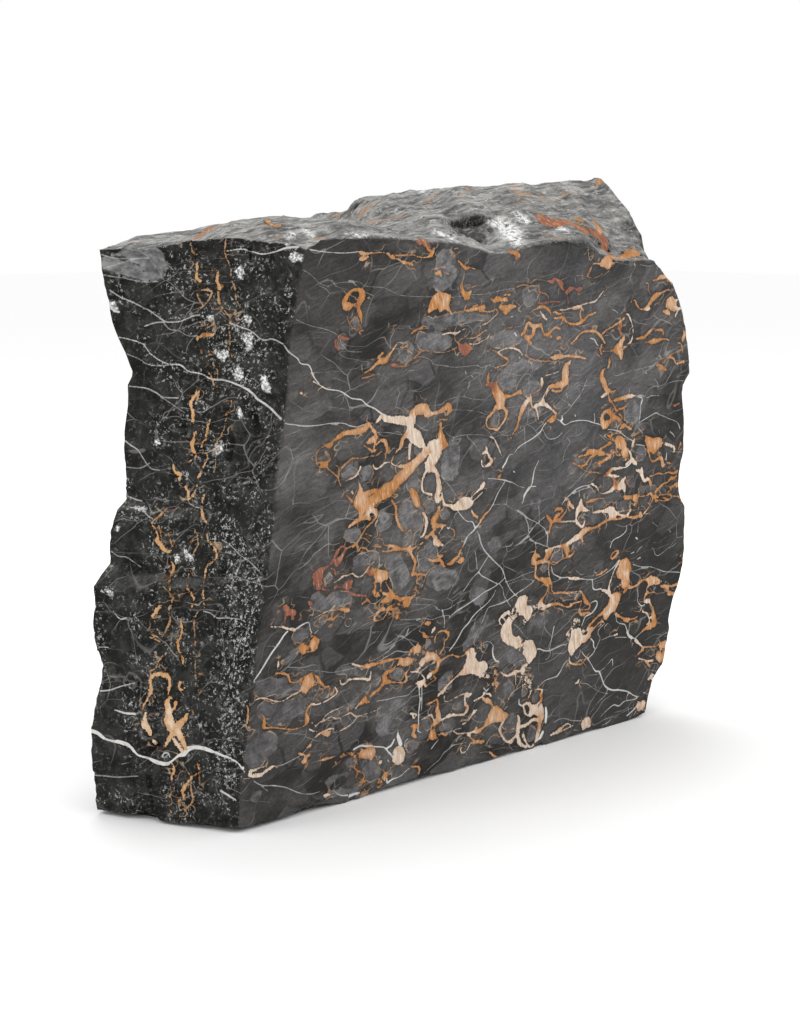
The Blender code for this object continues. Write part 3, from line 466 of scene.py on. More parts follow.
CREAM = """
194 398 4, 198 401 5, 206 398 8, 215 396, 225 395 9, 235 393, 243 394 12, 240 388 10, 241 380 14,
  248 376 16, 254 370 12, 260 365 6
149 339.5 1, 157 341 2, 163 344 3, 168 351 2
186 352 1.5, 188 348 3, 195 348 2, 203 352 1.5, 210 352, 218 348, 230 346 2
156 327 3, 157 325 2
178 302 6, 183 306, 187 303 5, 190 299 3
104 443 2, 118 436
240 368 5, 239 360 3, 239 354
266 362 4, 272 364 12, 280 362 16, 278 354, 272 348 14, 270 342 12
264 345 5, 264 338 4, 260 333 3, 258 325 2.5, 258 318 3, 264 314 2, 272 312 3
270 340 6, 276 338, 280 334 5, 282 328 6, 284 320 8, 283 314, 280 308, 281 303 5, 286 306 4
288 312 2, 290 304 3, 291 299
291 299 2.5, 300 297 4, 308 294 7, 315 296 12, 324 297 15, 331 296 10, 337 297 3
334 302 1.5, 340 306, 348 310 3, 352 313 7, 355 316 4
337 298 1.5, 345 302, 352 306
351 348 2, 357 350 4, 362 345 3, 366 339 4, 361 335, 352 334 1.5, 350 341 2
357 355 2, 358 353 2
363 366 2, 370 363, 376 354, 382 344 1.5
260 293 3, 264 287 4, 264 279, 261 270 3, 256 268 2
285 270 2, 290 275 1.5
288 481 2, 300 482, 308 481 2.5, 315 483 1, 325 486
330 469 1.5, 340 468, 350 471, 357 473, 362 478
375 458 1, 383 460 2, 392 461, 402 460, 410 457 2.5, 414 453 2
350 488 1.5, 358 490, 365 494, 372 498
445 497 2, 450 493 3, 455 489 2
475 500 1, 485 499, 500 501 1.5, 512 503, 525 505, 537 506 2, 545 511, 553 518 1.5
596 490 2, 600 488, 605 480 1.5, 608 472, 608 464, 604 457 3, 598 455 1.5
448 423 5, 447 418 3
455 427 1.5, 465 428, 475 430
630 494 3, 638 494 4
688 502 2.5, 694 503 1.5
689 494 5, 693 492 4, 698 492 3
692 489 2, 688 483 2.5
578 390 2, 600 393 5, 608 393.5 4, 614 393 2
434 393 3, 440 395 4, 446 396 5, 450 397 7, 450 401 4, 452 405 1.5, 457 411 2, 460 414 3
452 396 5, 458 393 4, 464 389 3, 470 385 2, 473 383
426 402 5, 420 397 6, 416 392, 413 386 5, 411 380 3
415 411 1, 420 407, 426 404 2, 430 402
439 391 3, 441 386 2.5, 442 382 1.5, 443 378 1
552 396 3, 558 398 4, 563 400 2
568 307 2, 573 310 3, 580 310, 588 310, 595 310 2
568 304 3, 575 302, 582 301, 590 300 1.5
584 288 8, 588 288 9, 592 289 10, 597 286 7, 598 281 4
590 291 6, 595 295 5, 598 297 4
577 287 6, 570 284 3, 564 283 2, 556 283 1.5, 550 286, 548 290 2, 544 293, 538 296 3, 535 297 1.5
519 280 4, 518 274 7, 517 271 9, 513 268 7, 511 262 5, 510 258 4, 511 255 5, 516 251 3, 522 248,
  526 254 1.5
520 270 7, 526 267 5, 530 266 3
482 258 2, 490 257.5, 500 257, 508 256
540 262 2, 550 262.5 3, 560 262 4, 568 262 8, 576 261 10, 574 256, 578 253 5, 584 257 6, 590 254 3,
  600 252, 606 254 4, 610 258 3
676 330 5, 682 329 4, 690 326, 692 321 3, 689 320 2
605 330 3, 608 325, 610 320 4, 614 315 6, 618 313 5
600 313 3, 608 317
614 341 3, 611 335 4
620 304 3, 626 303 5, 630 302 6, 629 306 3
629 299 5, 632 294 4, 635 290 5, 640 292 4, 644 291
103 203 1, 113 206, 125 208 1.5, 135 207
20 131 1.5, 28 133, 38 131, 50 126, 60 125, 70 128, 80 130, 85 132 2
98 115 3, 103 113 1.5, 112 113 1, 122 115 1.5, 130 118, 134 121 3, 131 126 2
138 132 3, 140 128 2, 146 128, 150 131, 160 130, 168 129, 176 127 3, 180 126, 182 131 2
155 147 2, 160 145 3, 165 143 2
160 99 2, 165 102
54 166 3, 53 161 2
145 193 .9, 149 196, 154 194, 154 190, 150 187, 146 189, 145 193
187 188 2, 186 191 1.5, 190 195, 196 198, 200 198 2
130 236 1, 137 238 1.5, 143 241 2, 150 241 1.5, 156 242 2, 160 239, 166 237 1.5, 172 239, 178 244 2,
  182 248 1.5, 187 250
45 203 1.5, 58 201 2, 66 198 3, 76 195 3.5
277 260 6, 283 257 5, 290 255 3
275 164 4, 277 166
262 135 6, 270 136 8, 278 134 6
240 124 1, 248 123 2, 252 122, 258 118 1.5, 262 113 2, 262 108, 264 104 3
252 124 3, 256 127, 260 129 2
258 122 1, 268 126, 278 128 1.5
254 106 6, 258 109, 252 110 3, 249 109 2
268 114 5, 272 116
area 316 109, 322 114, 326 120, 328 127, 326 131, 333 134.5, 342 134, 350 133, 351 129, 344 129,
  342 124, 345 119, 349 117, 355 117, 360 117, 363 118, 362 112, 362 107, 359 104, 353 103, 347 100,
  343 102, 337 105, 330 106, 323 106
area 352 103, 360 101, 366 99, 362 96, 356 98, 350 98, 347 100
290 92 4, 294 96 3, 298 99 2.5, 305 103 2, 313 107 2.5, 320 109
322 51 2, 330 52, 334 56, 338 60 3, 341 62 4, 346 63 1.5
330 37 3, 334 35
331 38 4, 338 39 3, 345 38
335 27 2, 330 21, 324 18, 320 20, 319 24, 323 25 1
308 46 2, 313 42, 320 41, 328 40
340 74 2, 350 76, 358 79, 366 77 3, 368 75
360 79 3, 356 81 2
286 66 5, 287 62 3, 293 63, 300 64.5 4, 310 64 3, 318 62 2.5, 325 62 3, 329 66 4, 330 70 3, 326 73,
  325 80 2, 326 84 3, 331 82 6, 336 83 2
293 88 1.5, 293 83, 298 81, 306 82, 315 84 2, 325 85
283 90 3, 288 93, 293 95 4, 297 99 3
258 68 1.5, 266 70 2, 272 71, 275 67, 278 62, 279 60
241 78 2, 246 77 3, 250 75 2, 246 72, 244 76
102 92 1, 104 90 1.5, 108 93 1, 117 94 2, 125 96 1.5, 133 93 1, 145 94, 153 95 1.5, 158 91 2,
  162 89 1.5, 155 84 1, 148 81 1.5, 138 79, 132 80 1, 128 83 2, 122 84 1.5, 117 83
113 95 1, 120 100, 128 102 2, 135 103 1.5
96 88 2, 102 85 1.5, 106 85 1
162 89 1.5, 175 90 1, 190 91
15 57 4, 16 61
17 55 3, 23 55 5, 30 54 4, 36 57, 42 59 3, 47 60 1.5
20 61 2, 30 62 1.5, 34 62 2
115 14 3, 122 14
195 33 4, 197 34
458 228 2, 465 229 3, 475 230 2, 484 230 3
495 231 5, 502 233 6, 510 236 7, 517 237 6
452 214 2, 458 215, 463 213, 463 206 1.5, 464 200, 465 195
498 191 2, 505 189.5 3.5, 515 188 4, 520 187 2
area 415 181, 422 181.5, 427 181, 427 175, 427 170, 431 168, 438 168, 445 168, 450 170, 452 164,
  445 162, 439 163, 435 158, 430 152, 424 148, 420 149, 423 153, 421 157, 414 160, 408 158, 402 153,
  401 146, 403 140, 408 136, 413 136, 420 132, 427 129, 433 129, 438 127, 441 121, 444 115, 443 109,
  440 106, 434 102, 431 100, 427 104, 426 108, 422 113, 416 117, 410 121, 403 126, 396 128, 390 132,
  384 138, 383 145, 386 152, 390 156, 395 160, 400 165, 404 170, 410 177
hole 418 127, 421 126, 423 122, 419 121, 417 124
hole 406 166, 409 167, 411 165, 408 164
385 152 3, 381 157, 382 161, 388 164 4, 396 166
391 158 2, 386 161
450 168 5, 455 164 5, 460 163, 468 164 4
448 162 2, 455 160, 463 162
area 494 121, 496 126, 500 128, 504 127, 506 132, 505 137, 509 141, 515 142, 519 140, 520 136, 516 139,
  511 138, 508 134, 509 131, 514 129, 518 132, 521 130, 522 126, 527 125, 533 127, 540 127, 545 124,
  541 120, 539 116, 534 113, 529 112, 523 109, 518 106, 513 104, 510 100, 507 97, 503 99, 500 104,
  499 110, 500 116, 503 121, 498 122
hole 524 121, 529 123, 534 122, 530 119
501 100 2, 502 92, 505 89 3
385 98 3, 390 95, 395 93, 402 94 4, 408 96, 414 95 3, 419 97 5, 422 100 4, 428 100 3
408 94 3, 409 88 2, 409 80 1.5
area 418 96, 423 98, 428 100, 431 101, 427 98, 424 94, 427 88, 432 83, 437 78, 440 72, 443 69, 437 69,
  432 73, 427 76, 421 75, 420 82, 418 88
590 200 3, 588 196, 582 190 2, 578 184, 575 178, 572 172 3, 572 166 5, 574 160 6
560 168 3, 566 166 4, 571 163
576 163 1.5, 584 167, 592 170
600 190 5, 601 184
566 139 5, 574 140
640 142 3, 645 141, 640 143 5, 645 143, 650 141 4
637 134 1.5, 636 131 2, 642 129, 646 126 3, 648 122 2, 650 117, 645 114
650 121 3, 656 122 4
583 110 2, 588 111 4
624 98 5, 630 93 3, 634 90 2, 637 87 3
667 72 6, 670 66 5
631 74 2, 640 71 1.5, 650 68 2, 658 67 3
650 45 3, 655 47 4, 658 43
656 50 3, 662 48
area 630 21, 636 20, 640 22, 645 25, 649 27, 647 20, 645 12, 646 6, 641 8, 636 10, 632 8, 628 12, 629 18
424 16 4, 428 9 3, 432 4, 438 3, 444 7 4, 447 14 6, 450 22, 450 30, 444 33 4, 438 34 5, 430 31 4, 422 30
452 40 12, 453 48 6, 453 34 10
436 42 8, 438 48, 444 44 10, 448 40 8
433 55 3, 436 52, 443 50 2.5, 450 53 3
426 54 3, 420 55 2, 424 49 3, 425 44, 430 41 2
421 55 2, 428 56 3, 433 52 4, 437 48
431 62 2, 434 66, 434 70
413 44 3, 415 38 5, 414 32 6, 413 25, 414 18 5, 416 12 6, 420 8 5, 424 6 4, 428 4 3
418 30 4, 422 29 3
408 20 2, 404 18 3, 400 16, 395 17, 391 20, 387 25, 384 30 4, 383 34 5, 385 38 3, 388 41 4
410 21 3, 414 16
405 16 2, 402 13 1.5
444 69 3, 450 68 2, 454 66 3, 453 62
area 525 16, 530 18, 532 21, 536 19, 541 18, 543 13, 544 10, 540 6, 534 6, 528 4, 525 8
470 10 2, 478 11 4, 485 13 5, 492 16 3, 498 18 2, 505 16 1
480 10 2, 490 11, 500 12.5, 510 14 1.5
513 64 2, 518 64 3, 519 67 2
606 561 4, 616 560
area 214 40, 217 44, 222 46, 228 44, 232 38, 232 31, 229 27, 222 25, 214 28, 213 32, 216 36
"""

WHITE = """
60 573 2.5, 73 574.5 3, 82 575, 93 575, 105 572.5 2.5, 127 570 1.8, 150 569, 167 570
80 557.5 1.2, 97 551, 105 546, 113 540, 123 537, 133 539, 147 540, 158 539, 163 536
123 537 .7, 130 530, 140 529
153 542 1.2, 168 539, 177 535, 200 533, 210 530, 218 527, 227 524, 243 522.5, 260 521.5, 275 521
60 520 1, 70 511, 78 507 1.3, 90 502, 103 498, 117 495, 130 491, 137 487, 143 479, 148 473, 155 470,
  170 469
60 485 2.5, 65 481, 67 477, 75 472, 83 467, 87 462, 97 460, 101 455, 104 448, 112 440, 120 435,
  130 433, 140 431, 148 427, 155 423, 165 421 2.8, 170 420, 178 414 3, 188 410, 198 404 3.5, 205 401 4
60 455 .7, 75 449, 90 450, 105 452, 120 451, 158 452, 172 456, 185 457
72 442 .7, 85 444, 95 447
140 463 .6, 150 455
170 484 .6, 180 487, 200 492
60 493 .5, 75 488, 125 486
200 449 .6, 203 440, 207 433, 215 425
170 555 .6, 215 555
300 519 1.2, 312 520, 330 521, 350 521, 365 522, 378 524, 390 525, 402 526
250 460 1.3, 262 458, 270 455, 276 450, 290 448, 300 446, 312 445, 330 445, 342 445, 350 442, 358 444,
  368 442, 380 438, 390 434, 400 432, 410 430, 424 431, 430 428, 437 423
320 428 .8, 330 428 1, 340 432, 352 437, 358 443, 365 448, 372 450
330 428 .8, 327 422
383 470 1.2, 385 463
398 550 1, 404 555, 410 560, 415 570, 420 578
430 500 1.5, 437 495, 445 494, 450 493
402 477 3, 405 474 4
410 450 3, 411 448 2
396 495 2.5, 398 495
324 439 2.5, 325 437
334 434 2, 335 433
560 521 .9, 575 525, 585 530, 598 532, 605 538, 610 543
531 465 2.5, 538 463 3, 542 458, 546 455 1.5
573 437 1, 572 430, 574 421, 580 419 1.2, 590 421 1.5, 596 421 1, 600 422 .8, 615 424, 630 425, 648 427
580 404 .8, 590 407, 600 411, 617 415, 633 421, 650 427
503 530 1.2, 504 536, 516 536 1.5
570 496 2, 576 494, 580 491 1
595 520 .7, 600 528, 607 540
500 425 1.5, 510 424
515 403 .8, 520 410, 524 415
602 552 3, 607 549, 610 545 2
617 551 2.5, 625 551, 632 551 2
620 546 1.5, 635 544, 645 546
650 411 1, 655 407 1.5, 658 402 2, 658 398 1.5, 665 399 1, 675 403, 684 405 1.2, 693 405.5 1.5, 706 405
614 393 1.5, 625 392 1, 632 391
637 389 2, 645 391, 655 390.5 1.5, 661 390
634 419 3, 635 418
30 429 2.5, 38 425, 44 423, 50 419, 57 413, 62 408, 67 404, 78 402, 88 400, 102 399, 113 399 2,
  130 399.5, 145 398, 153 395, 163 393, 170 394, 178 395.5
128 398 1, 138 396, 146 391
70 428 .8, 93 415, 110 412
120 417 .8, 143 413, 162 409
155 412.5 .8, 177 413
66 392 1, 85 396
68 362 .6, 93 367, 106 370
102 290 1, 113 296, 130 299, 150 305, 163 306
82 256 1.2, 97 263, 103 269, 113 273 1.5, 122 277, 130 275 1, 138 276
192 385 1, 210 383 1.5, 220 381, 230 379 1.2, 245 376 1
313 290 2, 318 284, 327 277, 336 275, 341 268 4, 348 273 3, 355 280 2, 362 284, 369 291, 375 300,
  380 306, 387 313 1.5
313 288 1, 305 281, 300 273 1.5
341 268 4, 338 265 3, 330 261 1.5, 326 255, 322 250 1
343 264 1.5, 348 258, 349 250
361 320 2, 370 319 1.5, 386 316 3, 393 314 2.5, 400 312 1.5, 410 307 1, 420 304
384 330 4, 389 335, 393 341 3, 397 344 1, 401 343, 410 350 1.5, 420 354 2, 430 357 2.5, 440 361 3,
  447 365, 450 369 2, 456 374
397 312 1, 393 300 1.2, 391 290
370 290 1, 387 289, 397 284 1.2, 408 279, 420 272
388 395 1, 404 396, 420 396
327 369 1.5, 336 362 1.2, 345 353, 350 345 1
352 330 1.5, 353 320
300 363 1, 308 370 1.2, 318 371 1.5, 330 371 1.2, 350 369 1, 362 367, 376 371, 384 366 1.2, 400 365,
  412 367 1, 420 370
302 400 1.2, 323 398 1, 343 395, 362 389
292 378 1, 300 372, 308 370
268 407 1, 287 407 1.2, 295 411 1, 318 413, 337 409 1.2, 363 406 1
320 413 1, 328 420, 332 428
284 332 1.2, 290 327, 300 318 1.5, 310 307 1.2, 318 302 1
292 328 .8, 322 319 .6, 338 312
402 324 3, 404 323
297 273 4, 300 272
451 366 1.5, 456 359 2, 462 355, 472 355, 478 357, 483 360
443 364 .8, 458 352
474 377 1.5, 480 374 2, 486 370 4, 490 369 2, 500 371.5, 510 372, 520 371.5, 530 370, 540 367 2.5,
  550 364.5 2, 556 361 1.5
481 374 4, 484 376 5, 483 379 2
484 380 1.5, 495 386, 505 394 2, 515 402, 522 411 2.5, 526 418 2
480 385 1, 490 389, 500 391
470 409 1, 480 400, 490 395, 500 390
513 412 1, 530 411 1.2, 540 411
490 406 1, 492 400 2
506 378.5 4, 507 378
540 378 2, 541 370 2.5
420 295 4, 426 302 3, 430 304 2, 440 303.5
418 288 2, 422 296 3, 432 305, 435 315 4, 437 322 2, 444 332
445 281 2, 446 270 1.5, 446 260 1
410 280 1.5, 420 274 2, 428 268, 440 263, 450 257, 456 253, 458 247
413 242 2, 420 246, 428 250, 436 257, 445 262, 455 267
422 270 1.5, 427 262 2, 428 254
485 278 2, 492 284 2.5, 500 288, 510 293 3, 520 295 2, 530 295.5 1.5, 536 296 1
505 288 2, 515 291, 525 292, 535 293
515 288 2, 516 284
445 321 .8, 465 320 1, 478 324, 490 329, 500 329, 512 326
486 330 1.2, 490 340, 496 346 1.5, 498 349, 493 353
485 348 1, 487 356
410 372 .8, 420 376, 440 380
565 357.5 2, 580 355 2.5, 590 351 2, 600 345, 610 341, 614 338 3
550 353 1.5, 560 346, 566 342
590 310 2, 600 310 3, 606 313 4, 610 316 5
615 393 1.5, 625 393.5 2, 632 392 1
620 391 1, 628 389 2, 627 385 4, 625 380 2, 625 373, 624 368 1.5, 622 360 1
601 369 1, 615 369
622 360 1, 630 363 2, 640 366, 650 369, 655 370 3, 658 369 2
662 367 1.2, 672 364 1.5, 680 361, 690 358 1, 697 355 1.5, 700 351 3, 702 347
622 354 1.5, 632 346 2
661 349 2, 662 345
683 345 2, 688 342 3, 692 338 1.5
685 321 1, 698 319 1.5, 710 318
618 335 2, 625 334 2.5, 634 332, 641 328, 648 323 2, 651 320
677 320 2, 676 312 4
652 238 1.2, 662 232 1.5
684 226 2, 688 222
670 228 .7, 680 231, 700 239, 715 243
20 151 2, 26 156 3, 33 163 4, 40 171, 48 179, 55 185, 62 192, 68 196 3
76 195 3, 84 198 3.5, 92 200 3, 96 199 1.5, 97 193, 101 187, 108 190 1
20 150 1.2, 35 151 1, 50 153
50 155 .8, 70 155, 95 150 1, 110 147, 125 143 1.2, 140 142 1.5, 155 142, 165 142 1
65 152 .8, 80 149, 95 145
42 232 .7, 60 236, 80 246, 95 255, 110 260
40 184 1, 48 183
80 229 1, 95 225
160 180 .6, 200 174 .8
300 137 2, 308 143 3, 315 150, 322 158, 330 163 3.5, 338 170 3, 347 175 2.5, 356 179 2, 362 182 1.5,
  370 188, 375 195 1
300 174 1.5, 310 179 2.5, 320 182, 330 185 3, 342 189, 355 194 2.5, 368 197, 380 201, 388 205 1.5
322 200 1.5, 330 207 2, 337 213, 346 218 2.5, 350 222, 356 228, 361 233 1.5
346 218 3, 352 213 2.5, 358 210 2, 366 206, 374 202, 380 200
344 222 2, 343 230, 341 240, 340 243 1
346 260 2.5, 349 252 3, 354 243, 361 236, 368 230, 374 225, 378 222, 384 217, 388 210 2, 391 203,
  395 196, 400 190, 406 185, 412 180
328 260 3, 324 255 2.5, 321 250 2
289 184 3, 291 178, 293 172 2, 292 164 1.5
280 187 1.5, 288 184 2, 298 184, 306 186 1.5, 316 189, 325 190
250 178 1, 262 179 1.5, 272 176, 285 177, 298 177, 303 175
225 183 1, 240 181 1.5, 255 180
238 198 1, 250 196 1.5, 262 194 1, 275 191, 283 187
210 155 1, 220 160 1.5, 232 163, 242 168, 252 171, 262 174 1
180 145 1, 192 147 1.2, 205 151 1.5, 220 157 1
190 143 1, 200 145 1.5, 212 148 2, 220 150, 232 147, 242 146
200 160 1.5, 208 160, 216 163, 224 166, 232 164 2, 236 168, 237 170
190 101 1.5, 205 100 2, 220 100, 235 99, 242 102, 250 106
254 110 4, 254 100 3, 255 90 2, 254 82 3, 253 75, 253 68, 253 62, 252 57, 257 54 2
258 108 3, 258 95 2, 258 85, 257 78 1.5
255 74 1, 268 78, 278 83
340 138 1.5, 344 143, 348 146
350 136 1, 360 138 1.5, 367 136
352 160 2, 358 170, 363 176, 375 177
372 177 2, 385 178 3, 395 180 2.5, 405 184, 415 187, 425 190 2, 437 195
370 204 2, 380 200, 386 194, 388 186, 394 178, 400 171 1.5
180 174 .7, 195 175
362 108 2, 370 108 1.5, 380 107
367 135 1.5, 371 132, 370 126 3, 371 120 4, 375 114, 380 112
268 114 3, 272 117
390 201 1.5, 405 202, 420 205, 438 207
397 198 1, 420 200, 440 196
383 241 1, 398 241 2, 402 244 1.5
405 240 1.5, 415 242 2, 425 246, 430 248 1.5
428 247 1.5, 435 243 2, 440 238, 441 233
430 243 1, 445 238 2, 455 234 1.5, 462 232
460 250 3, 461 243, 460 235 2, 462 230
405 151 1.5, 412 146, 418 140, 423 134 1, 428 131 1.5
400 99 .8, 410 105 1, 420 107 1.5, 428 105
465 190 1, 475 190 1.5, 485 192
468 181 2, 472 178 3
484 197 1, 488 202 1.5, 494 206 2
490 180 .8, 505 179, 520 180, 535 183
468 208 2, 471 200 2.5, 478 196 3, 486 193, 497 192
520 187 3, 530 185 2, 540 183.5
540 184 2, 542 178, 543 172 3, 550 170, 557 170, 563 166, 568 163 4
540 183 1.5, 550 184, 560 186, 570 189 2, 580 193 2.5, 588 199 3
510 164 3, 512 167 2.5, 520 170 1.5
538 155 1.5, 545 157 2, 550 156 3, 550 151 4, 545 146, 540 143 3, 530 141 2.5, 526 136 2, 523 131
444 116 3, 450 115, 457 112, 467 110.5, 478 112, 490 113.5 2.5, 498 112 2
466 112 2, 468 106, 464 102 1.5, 460 101
468 118 1.5, 470 125 2, 473 135 3, 474 138
524 100 2, 527 96, 533 91 3, 538 86 2, 541 82
540 113 3, 545 108 4, 545 103 3, 548 99 2, 545 95, 540 92, 534 90
550 100 2, 555 107, 557 111 1.5, 553 117 2, 555 122, 565 127
512 96 2, 516 93, 520 97, 521 102
498 94 2, 492 90, 488 85, 484 81 3, 480 78, 472 77.5 2.5, 462 77 2, 455 75, 450 72, 446 69
573 217 3, 575 222 2.5, 580 226, 590 228, 600 232, 603 236 2, 602 240
621 223 4, 624 221 2.5
625 240 1, 624 230 2
612 205 2, 617 206 3
623 205 1.5, 628 209 2, 633 211 1.5
630 198 3.5, 625 197 2
652 207 1, 656 204 1.5, 658 199 2, 663 196, 672 198 1.5, 682 202 1, 692 204 1.5, 700 207 1
655 213 .7, 665 212, 680 217, 700 219, 710 217
615 192 2, 630 187, 650 184, 662 180 1.5, 670 177 2.5, 680 174 2, 700 171, 710 169
610 183 1.2, 630 184, 645 183
626 161 2, 627 152, 626 146, 630 141 3, 635 138, 640 139
583 138 3, 586 132 2, 587 127, 591 124, 597 122 2.5, 603 120, 607 113 3, 611 107, 617 103, 622 100,
  628 103 2, 635 106, 642 109 3
615 100 1.5, 615 97 2
612 121 2, 611 114 1.5, 610 108 2
585 107 2, 595 106, 606 104 2.5
560 108 1.5, 573 110 2, 583 110 1.5
655 153 2, 661 158
615 138 1, 625 137
541 83 2.5, 545 77 3, 550 72 4, 556 70.5, 561 62, 566 53 3.5, 572 48 4, 578 45, 585 43, 592 42, 600 40,
  607 38 3.5, 614 35 3, 622 30 2.5, 630 27 3
558 71 1.5, 565 73 1, 572 77 1.5, 580 82 2, 581 78 3, 581 74 1.5
665 93 1, 680 97 1.5, 686 98 2
607 110 4, 611 104, 617 101 3
540 56 .8, 550 50, 560 45 1.2, 572 41
540 22 1.2, 550 30, 560 36 2, 567 39, 572 45
560 15 1, 570 20 1.5, 584 25 3, 594 22, 602 25 2.5, 608 26 2, 618 25, 628 25 2.5
609 30 1.5, 609 26
613 35 3.5, 610 32 2
580 8 2, 572 5, 562 4 1
567 10 1, 580 11 1.5, 592 11 1, 610 14 1.5, 620 15
610 7 3, 618 10, 626 14 4, 630 18 3
623 5 2, 628 10
641 30 3, 645 29 2
524 62 2, 533 60, 540 56 1.5, 546 51 1
475 24 1.5, 485 26, 495 25, 505 21, 518 18 2, 525 17
512 8 2, 520 6 1
526 82 1.5, 526 74 1, 530 68
461 44 6, 462 36 8, 461 27 7
456 16 8, 452 11, 446 7 5
415 63 2, 415 57 4, 420 54
393 48 4, 390 50 2
395 62 1, 400 69 2, 405 73, 412 75 1.5, 418 77 1
390 55 1.5, 395 58 2
153 54 3, 160 56 4, 168 57, 175 55, 182 54 3, 188 52, 195 50.5, 202 48, 208 42 4, 213 37
222 62 1, 222 57 8, 224 52 10, 226 47 10
216 54 4, 212 49 5, 205 47 3
232 44 3, 233 49 2, 237 51
218 38 5, 214 34 4
262 8 .8, 275 14 1.5, 285 18, 292 24 2, 300 27, 308 30, 318 29.5 1.5, 328 29 1
300 28 1, 318 40, 325 42
312 33 1.5, 318 38, 325 40
273 33 3, 278 37 2, 284 41 1.5
250 33 1.5, 242 31 1, 232 29
205 15 3, 206 9 5, 213 11 3, 225 12 1.5, 232 15, 240 19
207 33 3, 208 32
356 86 3, 360 82, 364 84 2, 358 79
350 13 1.2, 360 12, 366 10
362 22 2, 367 27 1.5, 375 29 1
283 47 1.5, 298 46 2, 310 47, 320 47
180 81 .6, 200 79
188 70 .6, 210 66, 230 62, 240 57
-6 77 3, 0 74, 5 68 4, 8 62 2
5 55 2, 15 54 1.5
20 50 1.5, 27 45 2, 35 42, 45 40 2.5, 55 37, 63 34 2, 72 29, 80 25, 88 22 1.5, 98 20, 108 20 1
48 59 1, 60 59 2, 70 61, 80 63 1.5, 90 68, 100 77
100 53 1, 115 53 1.5, 135 53 1
30 42 1, 38 36 1.5
4 34 .8, 20 29, 40 24
95 65 .7, 120 63, 140 68, 155 71
150 5 3, 165 7 4, 140 9 2, 128 17 1.5
"""

# Pieces of lighter grey rock in the dark ground.
LIGHT = """
143 480 16, 144 479
161 499 14, 162 499
235 466 20, 232 464
262 495 12, 290 495 14, 330 497 12, 360 495 8
258 475 20, 285 473 22, 298 474 14
290 560 24, 285 535 20, 300 545
360 470 10, 385 472 22, 405 470 16
425 516 24, 435 520 16
380 425 20, 410 440 14, 440 440 12
150 283 16, 160 282
148 350 16, 158 352
175 345 16, 178 344
200 290 20, 204 290
243 290 36, 240 294
370 386 16, 371 384
235 265 16, 238 266
292 290 14, 294 288
268 300 14, 270 301
245 325 20, 246 326
250 359 10, 252 360
300 340 30, 305 355 24
395 425 20, 396 424
500 318 14, 510 324 8, 522 325
540 316 8, 550 318 6
425 415 16, 440 415 10
440 388 12, 425 388
555 275 18, 575 276 14
532 285 20, 540 268 22, 522 255 16, 530 262
540 254 12, 560 255 10
607 376 26, 615 372 22
575 365 10, 585 364
625 322 16, 628 324
665 320 10, 655 321 8
613 290 12, 605 293 10
630 280 12, 632 280
575 278 14, 585 276 12
640 263 14, 641 263
590 265 12, 605 264
670 275 8, 676 272 6
648 276 16, 655 277 8
30 143 20, 45 142 18, 60 140 20, 75 137 16
35 120 20, 50 112 26, 65 112 24, 80 115 22, 85 108 18
105 124 10, 115 122 12, 125 124 10
135 143 6, 150 141 12, 165 138, 175 135 10
80 188 14, 92 190 10
110 197 10, 118 201 8
105 216 12, 120 215 16, 140 218 18, 150 212 12
107 224 10, 104 223
122 240 10, 123 241
160 255 12, 185 255 14, 190 248 12
60 164 8, 70 168, 78 173
125 97 8, 140 98 10, 150 101 12, 158 106 10, 166 112 6
215 245 24, 225 230 26, 220 218 14
262 245 22, 275 248 14, 260 236 16, 270 255 14
278 222 26, 290 218, 305 218 20
255 220 8, 256 221
217 194 6, 227 193 8
205 137 10, 195 136 8, 212 138 6
218 126 12, 225 124
188 128 10, 192 122
205 108 8, 206 108
265 153 10, 267 152
258 140 6, 259 141
298 108 18, 290 103 14, 305 112 10
335 150 12, 345 155 16, 325 138 12, 355 162 14
350 190 20, 340 195 16
370 245 20, 372 246
205 95 12, 220 92 14, 235 94 10
455 208 9, 458 209
480 221 18, 472 217 10
508 226 8, 515 229 6, 503 222 5
460 152 14, 450 145 16, 440 152 12, 430 142 8
480 172 8, 495 170 10, 510 168 8, 465 172
405 115 22, 420 108 12, 395 118 14
552 195 14, 553 196
615 138 12, 630 135 10
620 115 18, 622 116
570 120 14, 571 121
20 77 30, 40 85 26
145 90 16, 150 84 12
180 33 22, 185 25 20
120 28 8, 135 31 6, 150 28
150 43 10, 158 40 8
20 35 14, 22 34
200 85 22, 200 70
215 20 16, 225 18 12
265 62 12, 270 58 8
310 73 12, 318 72 8
290 105 14, 300 100
240 42 14, 250 40 10
300 50 14, 290 52 10
235 85 6, 245 84
120 12 6, 135 14 8, 150 10 10, 162 14
395 80 18, 398 74
400 38 22, 405 30 14
442 60 14, 443 61
437 18 18, 438 20
423 69 10, 424 70
597 76 6, 603 72 8
436 283 12, 442 284
650 80 12, 656 78
"""

